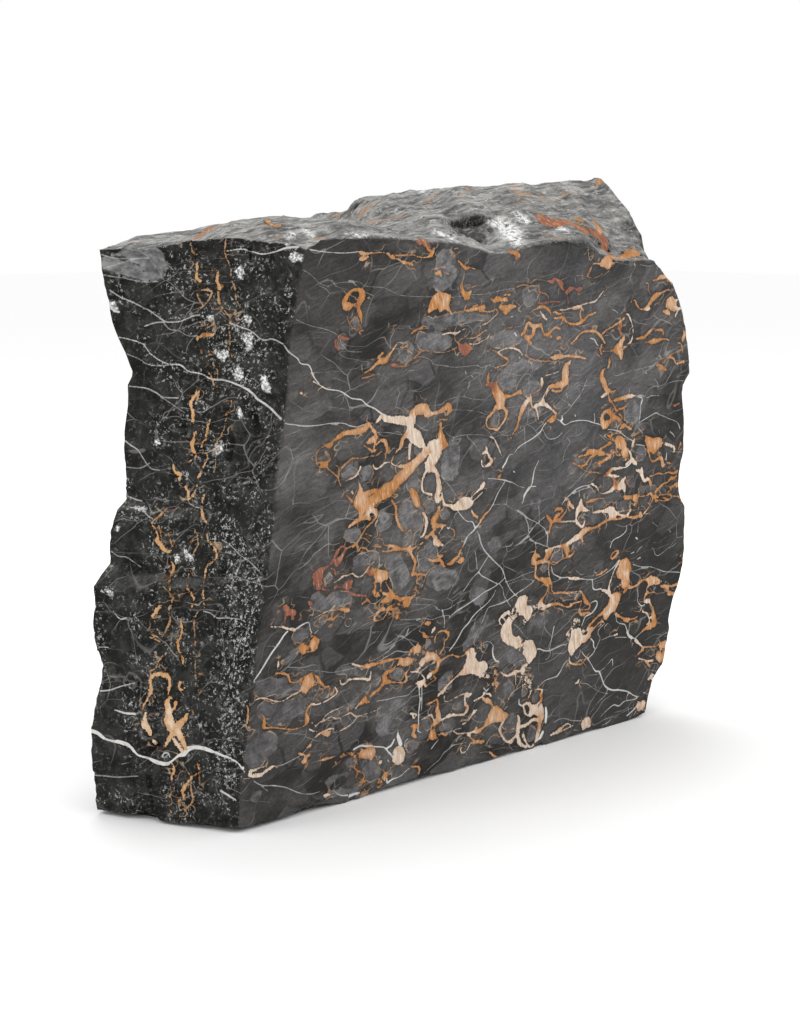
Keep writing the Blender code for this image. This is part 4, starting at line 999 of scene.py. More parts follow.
# Markings of the broken left end and the top: points on the picture, in its own pixels,
# with a width in millimetres.  They are cast from the camera onto the block.
PICTURE_GOLD = """
188 239 3, 193 235 4, 205 231 4, 220 226 3
190 242 3, 193 250, 197 253
197 262 4, 197 277, 200 281
202 290 3, 209 290, 212 293, 209 299, 205 304, 201 308
197 293 2.5, 200 301, 203 305
218 272 5, 217 280, 219 288 4
218 292 3, 219 301
219 302 1.2, 224 310, 230 317
226 239 1.6, 225 254, 231 268, 231 277, 235 289, 236 299, 240 305
241 311 1.2, 235 316, 230 325, 230 340, 229 350, 233 358
200 322 2, 205 328, 212 325, 214 320
197 340 5, 203 335, 212 335
199 344 2.5, 202 353
209 350 1.5, 209 355, 215 356, 213 364, 217 370, 218 377, 217 388, 218 393
208 371 3, 212 379, 214 385
199 391 3, 197 400
196 393 5, 191 404 4, 193 412 6, 193 421 5
196 432 3, 194 438 5, 192 445 6, 194 452 5, 196 456 3, 190 462 1.5
210 420 3, 208 428 4, 207 436 3, 203 443, 202 447 2, 206 453, 207 458, 204 466 1.5, 199 476, 196 488 2,
  193 496, 188 500 2.5
231 398 1.6, 231 409 2, 226 415, 225 425 1.5, 221 435, 216 443 2, 216 452, 215 465 1.5, 214 472
174 466 3, 176 472 5, 180 474 6, 179 480 3
186 488 4, 188 494 5, 187 500 4
183 504 1.5, 176 508, 168 513
166 508 3, 162 512 4, 157 517 3, 153 521 2, 152 525, 156 530 1.5, 158 536 3, 156 540 5, 160 544 7,
  164 550 6, 168 552 4, 172 550 2
158 525 1.5, 160 532 2, 162 540
168 533 1.5, 170 538, 172 545, 178 550 1
197 535 1.5, 198 545, 194 552, 196 560
207 492 1.5, 203 498 2.5, 201 506 3, 202 513 4, 205 520, 208 526 3, 207 533, 208 540, 212 545,
  215 550 4, 217 556, 214 561 3, 207 567, 205 574 2, 204 582, 203 592 3, 204 600 2.5, 204 608 2
172 562 2, 174 568 4, 171 573 3, 169 583 2, 170 590
188 568 2, 188 576 2.5, 187 584, 188 590 4, 192 594 3, 194 600 2.5, 192 607
178 590 2.5, 175 593 2, 172 600 1.5, 171 608
159 606 5, 156 612, 153 616 4, 155 622 1.5, 158 630
169 606 2, 169 614, 170 620, 167 628, 165 633 3, 160 637 2, 150 634 3, 153 631 2
150 637 2, 157 640 3, 160 642
180 618 2, 182 628 3, 181 636 4, 178 642, 179 650 2, 182 657, 183 664
200 610 2, 196 615, 194 625, 195 640, 196 655, 195 668, 196 680, 195 690
163 655 2, 158 662 3, 156 668, 150 671 2, 147 672
150 672 2, 152 677 6, 155 674, 162 674 7, 168 676 6, 170 681 5, 169 688 4, 168 694 3
150 680 5, 151 690, 149 697 4, 145 703, 143 710 3
170 698 6, 167 703 8, 168 712 7, 167 722, 170 728 10, 172 733, 167 742 6, 165 746 4
188 714 3, 185 719 6, 180 724 10, 177 730 12, 181 737 10, 184 743 8, 186 749 5
176 702 4, 174 708, 172 713 3
180 682 4, 178 688 3, 181 690, 185 688 2
171 762 2, 174 768 5, 173 774, 171 780 3, 174 787 2, 170 795, 169 805, 171 812 3
183 763 2, 186 770, 190 774
197 762 3, 199 768, 200 773 2.5, 194 775 3, 190 780 4, 186 785 5, 183 790, 184 797 3, 179 801 2
191 785 2.5, 192 793 3, 193 798 2, 190 805 1.5, 184 811 2, 183 815
200 775 1.5, 199 785, 195 795
247 706 3, 248 712, 247 724 2
266 222 6, 274 225 5, 280 224 5
610 260 11, 603 263 12, 612 256 10, 620 257 8, 630 253 14, 638 252 14, 643 256 8
588 250 3, 590 268 2, 587 276
468 194 7, 472 193 4
493 189 6, 497 188 8
512 190 5, 519 189
426 205 5, 430 206
598 189 8, 602 185 12, 608 184 8
594 222 10, 599 227 14, 600 234 8
575 218 8, 583 220
"""

PICTURE_RED = """
196 234 5, 204 229 6, 212 226 5
541 217 14, 548 221 22, 556 222 18, 564 221 14, 572 223 12, 579 226 12, 586 230 16
592 232 12, 598 235 18, 604 239 16, 604 246 12, 610 252 10
511 251 6, 516 253 6, 518 256 4, 515 260 4
424 240 7, 426 246 5, 431 252 4, 432 258 2
"""

PICTURE_CREAM = """
142 722 4, 146 727 8, 150 733 4
154 742 4, 155 744
168 702 4, 170 714 6, 172 726 8, 179 733 8, 183 742 6
147 712 3, 145 720 5, 148 728 5
165 743 3, 172 738, 178 746 5, 182 752 4
"""

PICTURE_WHITE = """
110 290 2, 122 298, 136 304, 149 311, 163 320, 169 322, 181 321, 193 316, 199 315
145 326 2, 155 323, 164 322
164 323 1, 170 329, 179 331, 188 336, 197 336
117 337 1.2, 128 339, 143 344, 149 352, 157 358 1.6, 169 364, 181 365 2, 188 371, 202 374, 211 379 2.4,
  223 380, 236 384, 250 391 3, 257 399, 269 407, 281 419
125 353 1, 137 358, 152 365, 169 365
230 323 2, 244 328, 251 331, 263 340, 272 339, 283 344, 289 352, 299 359
127 386 2, 145 388, 155 392, 164 397, 178 398
160 396 1, 182 411
99 254 1, 115 258, 130 258, 148 253
101 269 1, 121 263, 134 258
103 275 1, 122 278, 143 281, 157 280
106 302 3, 113 310, 119 312
227 251 1, 241 249 1.5, 251 251, 262 254 2, 274 252, 286 248 3, 298 247
92 731 4, 98 733, 104 738 3.5, 112 741 3, 120 742 4, 128 746, 133 751 3.5, 138 756 3, 147 758,
  156 762 4, 166 764, 172 761 3, 178 756, 184 754 5, 187 750 6, 193 747.5 4, 202 748, 212 751 3.5,
  222 755 3, 232 759 2.5, 238 763 2, 243 770 1.5
162 757 2, 164 753 2.5, 168 753, 170 757 2
125 441 2, 132 446, 138 450, 143 458 1.5, 147 464, 152 469, 160 470 1
126 467 1, 140 468, 150 463
128 496 1.5, 135 499 2, 142 501
130 507 2, 137 508 2.5, 143 510 2, 148 516 1.5, 153 519
190 504 1.5, 196 507, 200 508
110 550 1.5, 118 556, 126 557, 134 562 1, 141 567
222 540 1, 230 545, 240 555, 250 562, 258 570 1.5
113 611 1.5, 120 619 2, 126 618
97 647 2, 108 647.5 1.5
100 691 2.5, 110 690 2, 122 686 1.5, 135 683 1
115 710 2, 125 713 3, 135 714
92 775 1, 105 776, 118 777 1.5, 138 776 1
203 611 1.5, 210 613, 217 618, 225 618 2, 238 619 1.5, 246 622 1
221 791 3, 228 795, 236 800 2
"""

# White bruises where a hammer struck.
PICTURE_STUN = """
239 270 7, 240 274
248 337 9, 249 344
225 354 9, 222 357
214 350 4, 217 352
238 370 9, 239 376
264 380 8, 267 388 10
110 303 7, 116 309 5
246 317 5, 250 322
219 447 9, 216 451
156 441 5, 157 443
240 411 5, 241 415
288 244 6, 292 240
293 257 6, 303 259
208 316 4, 212 318
137 508 4, 144 510
186 552 6, 190 557
177 556 5, 178 560
118 527 4, 119 530
104 590 5, 112 594
"""

# A smooth pale shell of broken stone at the top of the end.
PICTURE_SHELL = """
108 249 6, 130 243 10, 148 246 14, 158 253 14, 160 262 14
112 255 6, 132 252 16, 148 257 22, 154 268 20, 152 277 8
108 262 14, 125 268 18, 145 276 12
"""

# Patches of pale crushed crystal.
PICTURE_CRUSHED = """
496 223 16, 504 225 26, 510 230 26, 512 236 22, 516 240 18, 515 245 10
518 214 16, 523 220 18
440 232 14, 452 236 16
560 226 12, 565 229 10
350 234 10, 366 236 12
288 237 8, 292 233
305 230 8, 312 236 10
420 195 4, 433 194
205 312 18, 216 340 22, 240 325 20
245 345 20, 238 372 20, 262 385 18
196 400 14, 206 412
225 530 30, 240 600 34, 232 690 30, 225 780 24
262 520 12, 255 600 14, 245 680 12
190 555 12, 195 570 12
120 600 24, 135 620 20
120 720 20, 110 715 14
300 300 10, 290 380 8
"""

# Smooth broken faces, and pits and cracks that go in and are darkened with painted shade.
PICTURE_SMOOTH = """
105 262 24, 125 254 30, 142 256 28, 152 262 16
118 320 30, 135 420 30, 140 470 24
130 540 24, 115 660 20, 110 760 30
"""

PICTURE_SHADED_PITS = """
250 249 3, 251 261
254 416 4, 256 425 5, 260 433 3
149 776 3, 150 808 4
140 684 2, 141 694
152 749 4, 158 745
463 228 2, 470 226 3, 480 222 4, 490 217 4, 498 213 2
442 222 1.5, 452 226 2.5, 466 225 2
352 209 1.5, 358 207 2.5, 366 204 1.5
184 425 3, 186 440 3
228 462 5, 232 440 4
222 575 6, 224 560 4
"""

# Camera, fitted to the picture.
PICTURE_SIZE = (800, 1024)
CAMERA_PLACE = Vector((-1.5585, -1.6006, 0.626))
CAMERA_PITCH = math.radians(-9.0)
CAMERA_HEADING = math.radians(-44.785)
FOCAL_PIXELS = 2000.0
SENSOR = 36.0
CAMERA_TURN = Euler((math.pi / 2 + CAMERA_PITCH, 0.0, CAMERA_HEADING))


# ---------------------------------------------------------------- markings

def read_marks(text):
    """The marks in a text, each as (kind, array of rows "a b width")."""
    marks = []
    for line in text.strip().replace(",\n", ",").splitlines():
        kind = "line"
        first = line.split(None, 1)[0]
        if first in ("area", "hole"):
            kind = first
            line = line[len(first):]
        rows = []
        for point in line.split(","):
            values = [float(v) for v in point.split()]
            if len(values) == 2:
                values.append(rows[-1][2] if rows else 0.0)
            rows.append(values)
        marks.append((kind, np.array(rows)))
    return marks


def smooth_line(rows, step, closed=False):
    """A smooth curve through the rows, with a point about every step along it."""
    if len(rows) == 1:
        rows = np.array([rows[0], rows[0] + (0.6, 0.3, 0.0)])
    if closed:
        ring = np.vstack([rows[-1:], rows, rows[:2]])
    else:
        ring = np.vstack([2 * rows[:1] - rows[1:2], rows, 2 * rows[-1:] - rows[-2:-1]])
        ring[0, 2] = rows[0, 2]
        ring[-1, 2] = rows[-1, 2]
    points = []
    for i in range(1, len(ring) - 2):
        a, b, c, d = ring[i - 1:i + 3]
        count = max(1, int(round(np.hypot(*(c - b)[:2]) / step)))
        for t in np.arange(count) / count:
            points.append(0.5 * (2 * b + (c - a) * t + (2 * a - 5 * b + 4 * c - d) * t * t
                                 + (3 * b - a - 3 * c + d) * t ** 3))
    if not closed:
        points.append(ring[-2])
    points = np.array(points)
    points[:, 2] = np.maximum(points[:, 2], 0.0)
    return points


def inside(points, loop):
    """Which of the 2-D points lie inside the closed loop."""
    result = np.zeros(len(points), bool)
    x, z = points[:, 0], points[:, 1]
    for (x0, z0), (x1, z1) in zip(loop, np.roll(loop, -1, 0)):
        crosses = (z0 > z) != (z1 > z)
        if z0 != z1:
            result ^= crosses & (x < (x1 - x0) * (z - z0) / (z1 - z0) + x0)
    return result


def line_distance(points, line, half_widths):
    """Each point's distance to a line, less the line's half width there."""
    best = np.full(len(points), 1e9)
    for i in range(len(line) - 1):
        a, b = line[i], line[i + 1]
        along = b - a
        length = max(float(along @ along), 1e-9)
        t = np.clip((points - a) @ along / length, 0.0, 1.0)
        gap = np.linalg.norm(points - a - t[:, None] * along, axis=1)
        gap -= half_widths[i] + t * (half_widths[i + 1] - half_widths[i])
        best = np.minimum(best, gap)
    return best


class Mark:
    """One marking in three dimensions: a line with half widths, or a closed patch."""

    def __init__(self, kind, line, widths, tone):
        self.kind = kind
        self.tone = tone
        closed = kind != "line"
        self.line = np.vstack([line, line[:1]]) if closed else line
        self.half = np.zeros(len(self.line)) if closed else widths / 2
        self.drawn = self.half.max()
        self.low = self.line.min(0)
        self.high = self.line.max(0)

    def near(self, points, reach):
        margin = reach + self.half.max()
        return np.flatnonzero(((points > self.low - margin) & (points < self.high + margin)).all(1))

    def distance(self, points):
        gap = line_distance(points, self.line, self.half)
        if self.kind != "line":
            on_face = np.abs(points[:, 1]) < 0.5
            within = inside(points[:, (0, 2)], self.line[:-1][:, (0, 2)])
            gap = np.where(on_face & within, -gap, gap)
        return gap


LINE_STEP = 2.4            # millimetres or pixels between the points of a line


def face_marks(text, tone):
    """The marks of the sawn face, in block millimetres with y = 0."""
    marks = []
    for kind, rows in read_marks(text):
        line = smooth_line(rows, LINE_STEP, kind != "line")
        place = np.column_stack([line[:, 0], np.zeros(len(line)), line[:, 1]])
        marks.append(Mark(kind, place, line[:, 2], tone))
    return marks


FINE_WIDTH = 3.5           # lines narrower than this are drawn a little finer than given
CAST_SHARE = 0.78          # and by this much
LEAST_CAST_WIDTH = 1.35    # the broken skin's mesh can't hold a finer line
BROKEN_GOLD_SHARE = 0.74   # the gold on broken stone is slimmer than its strokes were drawn


def picture_marks(text, tone, tree, corner):
    """Marks given on the picture, cast from the camera onto the block."""
    turn = CAMERA_TURN.to_matrix()
    marks = []
    for kind, rows in read_marks(text):
        line = smooth_line(rows, LINE_STEP)
        place, widths = [], []
        for px, py, width in line:
            ray = Vector((px - PICTURE_SIZE[0] / 2, PICTURE_SIZE[1] / 2 - py, -FOCAL_PIXELS))
            hit = tree.ray_cast(CAMERA_PLACE, turn @ ray.normalized())[0]
            if hit is not None:
                place.append((np.array(hit) - corner) / MM)
                share = CAST_SHARE if width < FINE_WIDTH else 1.0
                widths.append(max(share * width, LEAST_CAST_WIDTH))
        if len(place) > 1:
            mark = Mark("line", np.array(place), np.array(widths), tone)
            mark.drawn = rows[:, 2].max() / 2
            marks.append(mark)
    return marks


FAR = 14.0                 # distances are kept up to this many millimetres
TONE_REACH = 1.2           # how softly one mark's tone passes into the next


def mark_fields(points, marks):
    """For every point: its distance to the nearest mark, and the tone there."""
    distance = np.full(len(points), FAR)
    tone_sum = np.zeros(len(points))
    weight_sum = np.full(len(points), 1e-9)
    cut = np.full(len(points), -FAR)
    for mark in marks:
        rows = mark.near(points, FAR)
        if not len(rows):
            continue
        gap = mark.distance(points[rows])
        if mark.kind == "hole":
            cut[rows] = np.maximum(cut[rows], -gap)
            continue
        distance[rows] = np.minimum(distance[rows], gap)
        weight = np.exp(-np.clip(gap, -3.0, FAR) / TONE_REACH)
        tone_sum[rows] += weight * mark.tone
        weight_sum[rows] += weight
    return np.maximum(distance, cut), tone_sum / weight_sum


# ---------------------------------------------------------------- mesh

END_EDGE = 4.0       # edge lengths wanted on the broken faces, in millimetres
TOP_EDGE = 5.4
BACK_EDGE = 9.0
UNDER_EDGE = 30.0
ARRIS_EDGE = 3.2     # along the sawn face's outline
LINE_EDGE = 1.15     # and close to a cast line
LINE_REACH = 0.9
SPLIT_OVER = 1.4     # an edge is cut when it is longer than wanted by this factor
SPLIT_ROUNDS = 8

TOP_SLOPE = 0.45     # a normal that rises more than this, above TOP_FLOOR metres, is on the top
TOP_FLOOR = 0.4
END_SLOPE = -0.3     # and one that points left of this is on the end, if within these two
END_RIGHT = -0.21
END_BACK = 0.03


def wanted_edges(places, normals):
    """The edge lengths wanted at places on the broken skin, in millimetres."""
    wanted = np.full(len(places), BACK_EDGE)
    wanted[(normals[:, 2] > TOP_SLOPE) & (places[:, 2] > TOP_FLOOR)] = TOP_EDGE
    end = (places[:, 0] < END_RIGHT) & (places[:, 1] < END_BACK) & (normals[:, 0] < END_SLOPE)
    wanted[end] = END_EDGE
    wanted[places[:, 2] < SEAT_HEIGHT] = UNDER_EDGE
    return wanted


def cut_triangle(corners, middles):
    """Corner lists that fill a triangle, where middles[i] cuts the side after corner i or is None."""
    cut = [i for i in range(3) if middles[i]]
    if len(cut) == 3:
        a, b, c = middles
        return [(corners[0], a, c), (corners[1], b, a), (corners[2], c, b), (a, b, c)]
    first = cut[0] if len(cut) == 1 else next(i for i in cut if (i + 1) % 3 in cut)
    here, after, far = (corners[(first + i) % 3] for i in range(3))
    middle = middles[first]
    if len(cut) == 1:
        return [(here, middle, far), (middle, after, far)]
    second = middles[(first + 1) % 3]
    tip = (middle, after, second)
    if (middle.co - far.co).length < (here.co - second.co).length:
        return [tip, (middle, second, far), (here, middle, far)]
    return [tip, (here, middle, second), (here, second, far)]


def split_edges(bm, edges):
    """Cuts edges in the middle and each triangle beside them to match, so the skin stays closed."""
    middles = {e: bm.verts.new((e.verts[0].co + e.verts[1].co) / 2) for e in edges}
    old = list({f for e in edges for f in e.link_faces})
    old.sort(key=lambda face: face.index)
    for face in old:
        corners = [loop.vert for loop in face.loops]
        cuts = [middles.get(loop.edge) for loop in face.loops]
        for piece in cut_triangle(corners, cuts):
            bm.faces.new(piece)
    bmesh.ops.delete(bm, geom=old, context="FACES")


def refine_skin(bm, marks, corner):
    """Splits edges longer than wanted, a round at a time."""
    for _ in range(SPLIT_ROUNDS):
        bm.normal_update()
        edges = list(bm.edges)
        starts = np.array([e.verts[0].co for e in edges])
        ends = np.array([e.verts[1].co for e in edges])
        normals = np.array([e.verts[0].normal + e.verts[1].normal for e in edges]) / 2
        lengths = np.linalg.norm(ends - starts, axis=1) / MM
        middles = (starts + ends) / 2
        wanted = wanted_edges(middles, normals)
        rows = np.flatnonzero((lengths > SPLIT_OVER * LINE_EDGE) & (middles[:, 2] > MM))
        gaps = mark_fields((middles[rows] - corner) / MM, marks)[0]
        close = rows[np.abs(gaps) < LINE_REACH + 0.4 * lengths[rows]]
        wanted[close] = LINE_EDGE
        outline = [i for i, e in enumerate(edges) if e.is_boundary]
        wanted[outline] = np.minimum(wanted[outline], ARRIS_EDGE)
        long_edges = [edges[i] for i in np.flatnonzero(lengths > SPLIT_OVER * wanted)]
        if not long_edges:
            break
        bm.faces.index_update()
        split_edges(bm, long_edges)


def sawn_loop(bm):
    """The open boundary left by the sawn face, in order."""
    start = next(v for v in bm.verts if v.is_boundary)
    loop = [start]
    edge = next(e for e in start.link_edges if e.is_boundary)
    vert = edge.other_vert(start)
    while vert is not start:
        loop.append(vert)
        edge = next(e for e in vert.link_edges if e.is_boundary and e is not edge)
        vert = edge.other_vert(vert)
    return loop


def fractal(place, size, octaves=3, seed=0.0):
    """Smooth noise from about -1 to 1 with lumps of the given size in millimetres."""
    shift = Vector((seed, 2.7 * seed, -1.3 * seed))
    return noise.fractal(place / (size * MM) + shift, 0.9, 2.1, octaves)


def facets(place, size, seed):
    """Tilted flat facets like broken stone, from about -1 to 1."""
    scaled = place / (size * MM) + Vector((seed, seed, seed))
    centre = noise.voronoi(scaled)[1][0]
    tilt = noise.cell_vector(centre * 7.3) - Vector((0.5, 0.5, 0.5))
    return 2.0 * (scaled - centre).dot(tilt)


BED_PITCH = 15.0      # millimetres between ledges on the top


def beds(place):
    """Ledges whose edges run along the sawn face, from 0 to 1 across each bed."""
    depth = (place.y - FACE_Y) / MM + 11.0 * fractal(place, 130.0, 3, 3.0)
    bed = depth / BED_PITCH
    height = 0.3 + noise.cell(Vector((math.floor(bed), place.x * 9.0, 2.0)))
    return (bed - math.floor(bed)) * height


# How far the far edge of the top is raised, in millimetres, along the picture's columns.
SKYLINE_LIFT = (
    (100, 0), (124, 0), (136, -2), (148, -5), (172, -6), (200, -4), (215, 0), (232, 3), (250, 0),
    (268, 4), (280, 6), (304, 7), (316, 5), (326, -2), (338, -6), (347, -6), (352, 0), (364, 5),
    (380, 7), (400, 5), (430, 4), (460, 7), (500, 5), (560, 4), (590, 5), (604, 11), (616, 14),
    (628, 9), (640, 3), (660, 0),
)
SKYLINE_DEPTH = (55.0, 110.0)     # the lift starts and is whole at these depths
SKYLINE_HEIGHT = (535.0, 570.0)


def lift_skyline(bm, corner):
    """Raises or lowers the far half of the top to the outline seen in the picture."""
    turn = np.array(CAMERA_TURN.to_matrix())
    places = np.array([v.co for v in bm.verts])
    seen = (places - np.array(CAMERA_PLACE)) @ turn
    column = PICTURE_SIZE[0] / 2 - FOCAL_PIXELS * seen[:, 0] / seen[:, 2]
    lift = np.interp(column, *np.array(SKYLINE_LIFT, float).T)
    rows = (places - corner) / MM
    lift *= np.interp(rows[:, 1], SKYLINE_DEPTH, (0.0, 1.0))
    lift *= np.interp(rows[:, 2], SKYLINE_HEIGHT, (0.0, 1.0))
    for vert, rise in zip(bm.verts, lift):
        vert.co.z += rise * MM


SEAT_FADE = 6.0       # millimetres over which the roughness fades at the sawn face and the seat
PIT_DEPTH = 5.0       # millimetres that the dark hollow goes in


def roughen_skin(bm, smooth, pits, corner):
    """Pushes the broken skin in and out by fine fracture relief."""
    bm.normal_update()
    verts = [v for v in bm.verts if v.co.z > 0.3 * MM and v.co.y > FACE_Y + TOUCH]
    points = (np.array([v.co for v in verts]) - corner) / MM
    calm = np.clip((mark_fields(points, smooth)[0] + 4.0) / 8.0, 0.12, 1.0)
    shaded_pit = np.clip((2.5 - mark_fields(points, pits)[0]) / 4.0, 0.0, 1.0)
    moves = []
    for i, vert in enumerate(verts):
        place = vert.co
        fade = min(1.0, (place.y - FACE_Y) / (SEAT_FADE * MM)) * min(1.0, place.z / (SEAT_FADE * MM))
        tall = Vector((place.x, place.y, place.z * 0.6))
        relief = 1.6 * facets(tall, 26.0, 1.0) + 1.1 * facets(place, 11.0, 5.0)
        relief += 1.0 * fractal(place, 30.0, 3, 1.0) + 0.35 * fractal(place, 5.0, 2, 8.0)
        top = max(0.0, min(1.0, (vert.normal.z - 0.35) / 0.3))
        relief = (1.0 - 0.72 * top) * relief + top * 2.6 * (beds(place) - 0.55)
        relief *= 1.0 - 0.5 * top * min(1.0, max(0.0, (place.y - FACE_Y) / MM - 100.0) / 30.0)
        moves.append(vert.normal * (MM * fade * (relief * calm[i] - PIT_DEPTH * shaded_pit[i])))
    for vert, move in zip(verts, moves):
        vert.co += move
        vert.co.z = max(vert.co.z, 0.0)


ARRIS_WAVE = 1.7       # how far the outline of the sawn face wanders, in millimetres
FOOT_CHIP = 14.0       # and how deep the chips of its lower edge are


def chip_arris(loop):
    """Makes the outline of the sawn face uneven, as broken edges are."""
    places = [v.co.copy() for v in loop]
    for i, vert in enumerate(loop):
        along = places[(i + 1) % len(loop)] - places[i - 1]
        outward = Vector((-along.z, 0.0, along.x)).normalized()
        place = places[i]
        if place.z < SEAT_HEIGHT:
            chip = fractal(place, 34.0, 3, 6.0) + 0.35 * fractal(place, 7.0, 2, 9.0)
            vert.co.z += FOOT_CHIP * MM * min(0.8, max(0.0, chip + 0.03))
        else:
            wave = fractal(place, 26.0, 3, 4.0) + 0.5 * fractal(place, 7.0, 2, 5.0)
            vert.co += outward * (ARRIS_WAVE * MM * wave * min(1.0, place.z / (12 * MM)))


FILL_STEP = 6.0        # spacing of the sawn face's plain fill, in millimetres
CLOSEST = 1.35         # no two points of the fill are nearer than this
ROW_SHARE = 0.87       # the fill's rows stand this share of a step apart, and
CLEAR_SHARE = 0.6      # its points keep this share of a step clear of the others
CELL = 2.0             # millimetres across a cell of the point set
CDT_GAP = 1e-4         # points nearer than this are one to the triangulation
SIDE_GAP = 1.3         # the rows beside a line stand this far outside its edge


class PointSet:
    """2-D points no nearer to each other than asked, kept in a hash of cells."""

    def __init__(self, cell):
        self.cell = cell
        self.cells = {}
        self.points = []

    def clear_of(self, x, z, gap):
        reach = int(math.ceil(gap / self.cell))
        i, j = int(x // self.cell), int(z // self.cell)
        for a in range(i - reach, i + reach + 1):
            for b in range(j - reach, j + reach + 1):
                for px, pz in self.cells.get((a, b), ()):
                    if (px - x) ** 2 + (pz - z) ** 2 < gap * gap:
                        return False
        return True

    def add(self, x, z, gap):
        if gap and not self.clear_of(x, z, gap):
            return
        self.cells.setdefault((int(x // self.cell), int(z // self.cell)), []).append((x, z))
        self.points.append((x, z))


def side_rows(line, half):
    """Two rows of points either side of a line, just outside its edge."""
    along = np.gradient(line, axis=0)
    along /= np.maximum(np.linalg.norm(along, axis=1), 1e-9)[:, None]
    across = np.column_stack([-along[:, 1], along[:, 0]]) * (half + SIDE_GAP)[:, None]
    return np.vstack([line + across, line - across])


def face_points(loop, marks):
    """Points for the sawn face: its edge, the marks, then a plain fill between them."""
    chosen = PointSet(CELL)
    for x, z in loop:
        chosen.add(x, z, 0.0)
    edge_count = len(chosen.points)
    lines = [(m.line[:, (0, 2)], m.half) for m in marks]
    for line, half in lines:
        for x, z in line:
            chosen.add(x, z, CLOSEST)
    for line, half in lines:
        for x, z in side_rows(line, half):
            chosen.add(x, z, CLOSEST)
    low, high = loop.min(0), loop.max(0)
    for i, z in enumerate(np.arange(low[1], high[1], FILL_STEP * ROW_SHARE)):
        for x in np.arange(low[0] + (i % 2) * FILL_STEP / 2, high[0], FILL_STEP):
            chosen.add(x, z, FILL_STEP * CLEAR_SHARE)
    points = np.array(chosen.points)
    keep = inside(points, loop)
    keep[:edge_count] = True
    return points[keep], edge_count


def fill_sawn_face(bm, loop, marks, corner):
    """Fills the open sawn face with triangles that follow the markings."""
    edge_loop = np.array([((v.co.x - corner[0]) / MM, v.co.z / MM) for v in loop])
    points, edge_count = face_points(edge_loop, marks)
    ring = [(i, (i + 1) % edge_count) for i in range(edge_count)]
    result = geometry.delaunay_2d_cdt([Vector(p) for p in points], ring, [], 1, CDT_GAP)
    places, triangles, sources = result[0], result[2], result[3]
    verts = []
    for place, given in zip(places, sources):
        if given and min(given) < edge_count:
            verts.append(loop[min(given)])
        else:
            verts.append(bm.verts.new((corner[0] + place.x * MM, FACE_Y, place.y * MM)))
    for triangle in triangles:
        corners = [verts[i] for i in triangle]
        if len(set(corners)) == 3:
            made = bm.faces.new(corners)
            made.normal_update()
            if made.normal.y > 0:
                made.normal_flip()


def cad_mesh():
    """The CAD block as one closed mesh."""
    bm = bmesh.new()
    bm.from_mesh(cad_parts[NODE].data)
    for layer in list(bm.loops.layers.uv):
        bm.loops.layers.uv.remove(layer)
    bmesh.ops.remove_doubles(bm, verts=bm.verts, dist=TOUCH)
    bmesh.ops.triangulate(bm, faces=bm.faces)
    bm.normal_update()
    return bm


def is_sawn(face):
    """Whether a face lies in the sawn plane."""
    return face.normal.y < -0.9 and all(v.co.y < FACE_Y + TOUCH for v in face.verts)


def gold_strength(marks):
    """The same marks with a tone that says how solid each one is."""
    copies = []
    for mark in marks:
        twin = copy.copy(mark)
        twin.tone = 1.0 if mark.kind != "line" else min(1.0, 0.35 + 0.42 * mark.half.max())
        copies.append(twin)
    return copies


FACE_WHITE_SHARE = 0.54    # the sawn face's white veins are finer than their strokes were drawn
RUST, GOLDEN, PALE = 0.0, 0.5, 1.0
TOP_RUST = 0.15


def trace_marks(tree, corner):
    """All the markings, under the names that the rest of the script knows them by."""
    white = face_marks(WHITE, 0.0)
    for mark in white:
        mark.half = mark.half * FACE_WHITE_SHARE
        mark.tone = min(1.0, 0.1 + 0.34 * mark.drawn)
    broken_white = picture_marks(PICTURE_WHITE, 0.0, tree, corner)
    for mark in broken_white:
        mark.tone = min(1.0, 0.14 + 0.42 * mark.drawn)
    broken_gold = picture_marks(PICTURE_GOLD, GOLDEN, tree, corner)
    for mark in broken_gold:
        mark.half = np.maximum(BROKEN_GOLD_SHARE * mark.half, LEAST_CAST_WIDTH / 2)
    broken_gold += picture_marks(PICTURE_RED, TOP_RUST, tree, corner)
    broken_gold += picture_marks(PICTURE_CREAM, PALE, tree, corner)
    marks = {
        "gold": face_marks(RED, RUST) + face_marks(GOLD, GOLDEN) + face_marks(CREAM, PALE),
        "white": white,
        "light": face_marks(LIGHT, 0.0),
        "broken_gold": broken_gold,
        "broken_white": broken_white,
    }
    for name, text in (("crushed", PICTURE_CRUSHED), ("smooth", PICTURE_SMOOTH), ("shaded_pit", PICTURE_SHADED_PITS),
                       ("stun", PICTURE_STUN), ("shell", PICTURE_SHELL)):
        marks[name] = picture_marks(text, 0.0, tree, corner)
    return marks


def add_field(mesh, name, values):
    """Stores one number on every point of the mesh."""
    layer = mesh.attributes.new(name, "FLOAT", "POINT")
    layer.data.foreach_set("value", np.asarray(values, np.float32))


def store_fields(mesh, points, normals, broken, marks):
    """Keeps what the material reads: distances to the markings, and which way the skin faces."""
    gold = marks["gold"] + marks["broken_gold"]
    gold_gap, tone = mark_fields(points, gold)
    white_gap, white_light = mark_fields(points, marks["white"] + marks["broken_white"])
    turned_away = np.maximum(normals[:, 0], normals[:, 1])
    add_field(mesh, "gold", gold_gap)
    add_field(mesh, "tone", tone)
    add_field(mesh, "strength", mark_fields(points, gold_strength(gold))[1])
    add_field(mesh, "white", white_gap)
    add_field(mesh, "white_light", white_light)
    for name in ("light", "crushed", "smooth", "shaded_pit", "stun", "shell"):
        add_field(mesh, name, mark_fields(points, marks[name])[0])
    add_field(mesh, "unseen", np.clip(3.0 * (turned_away - 0.3), 0.0, 1.0))
    add_field(mesh, "broken", broken)
    add_field(mesh, "up", normals[:, 2])


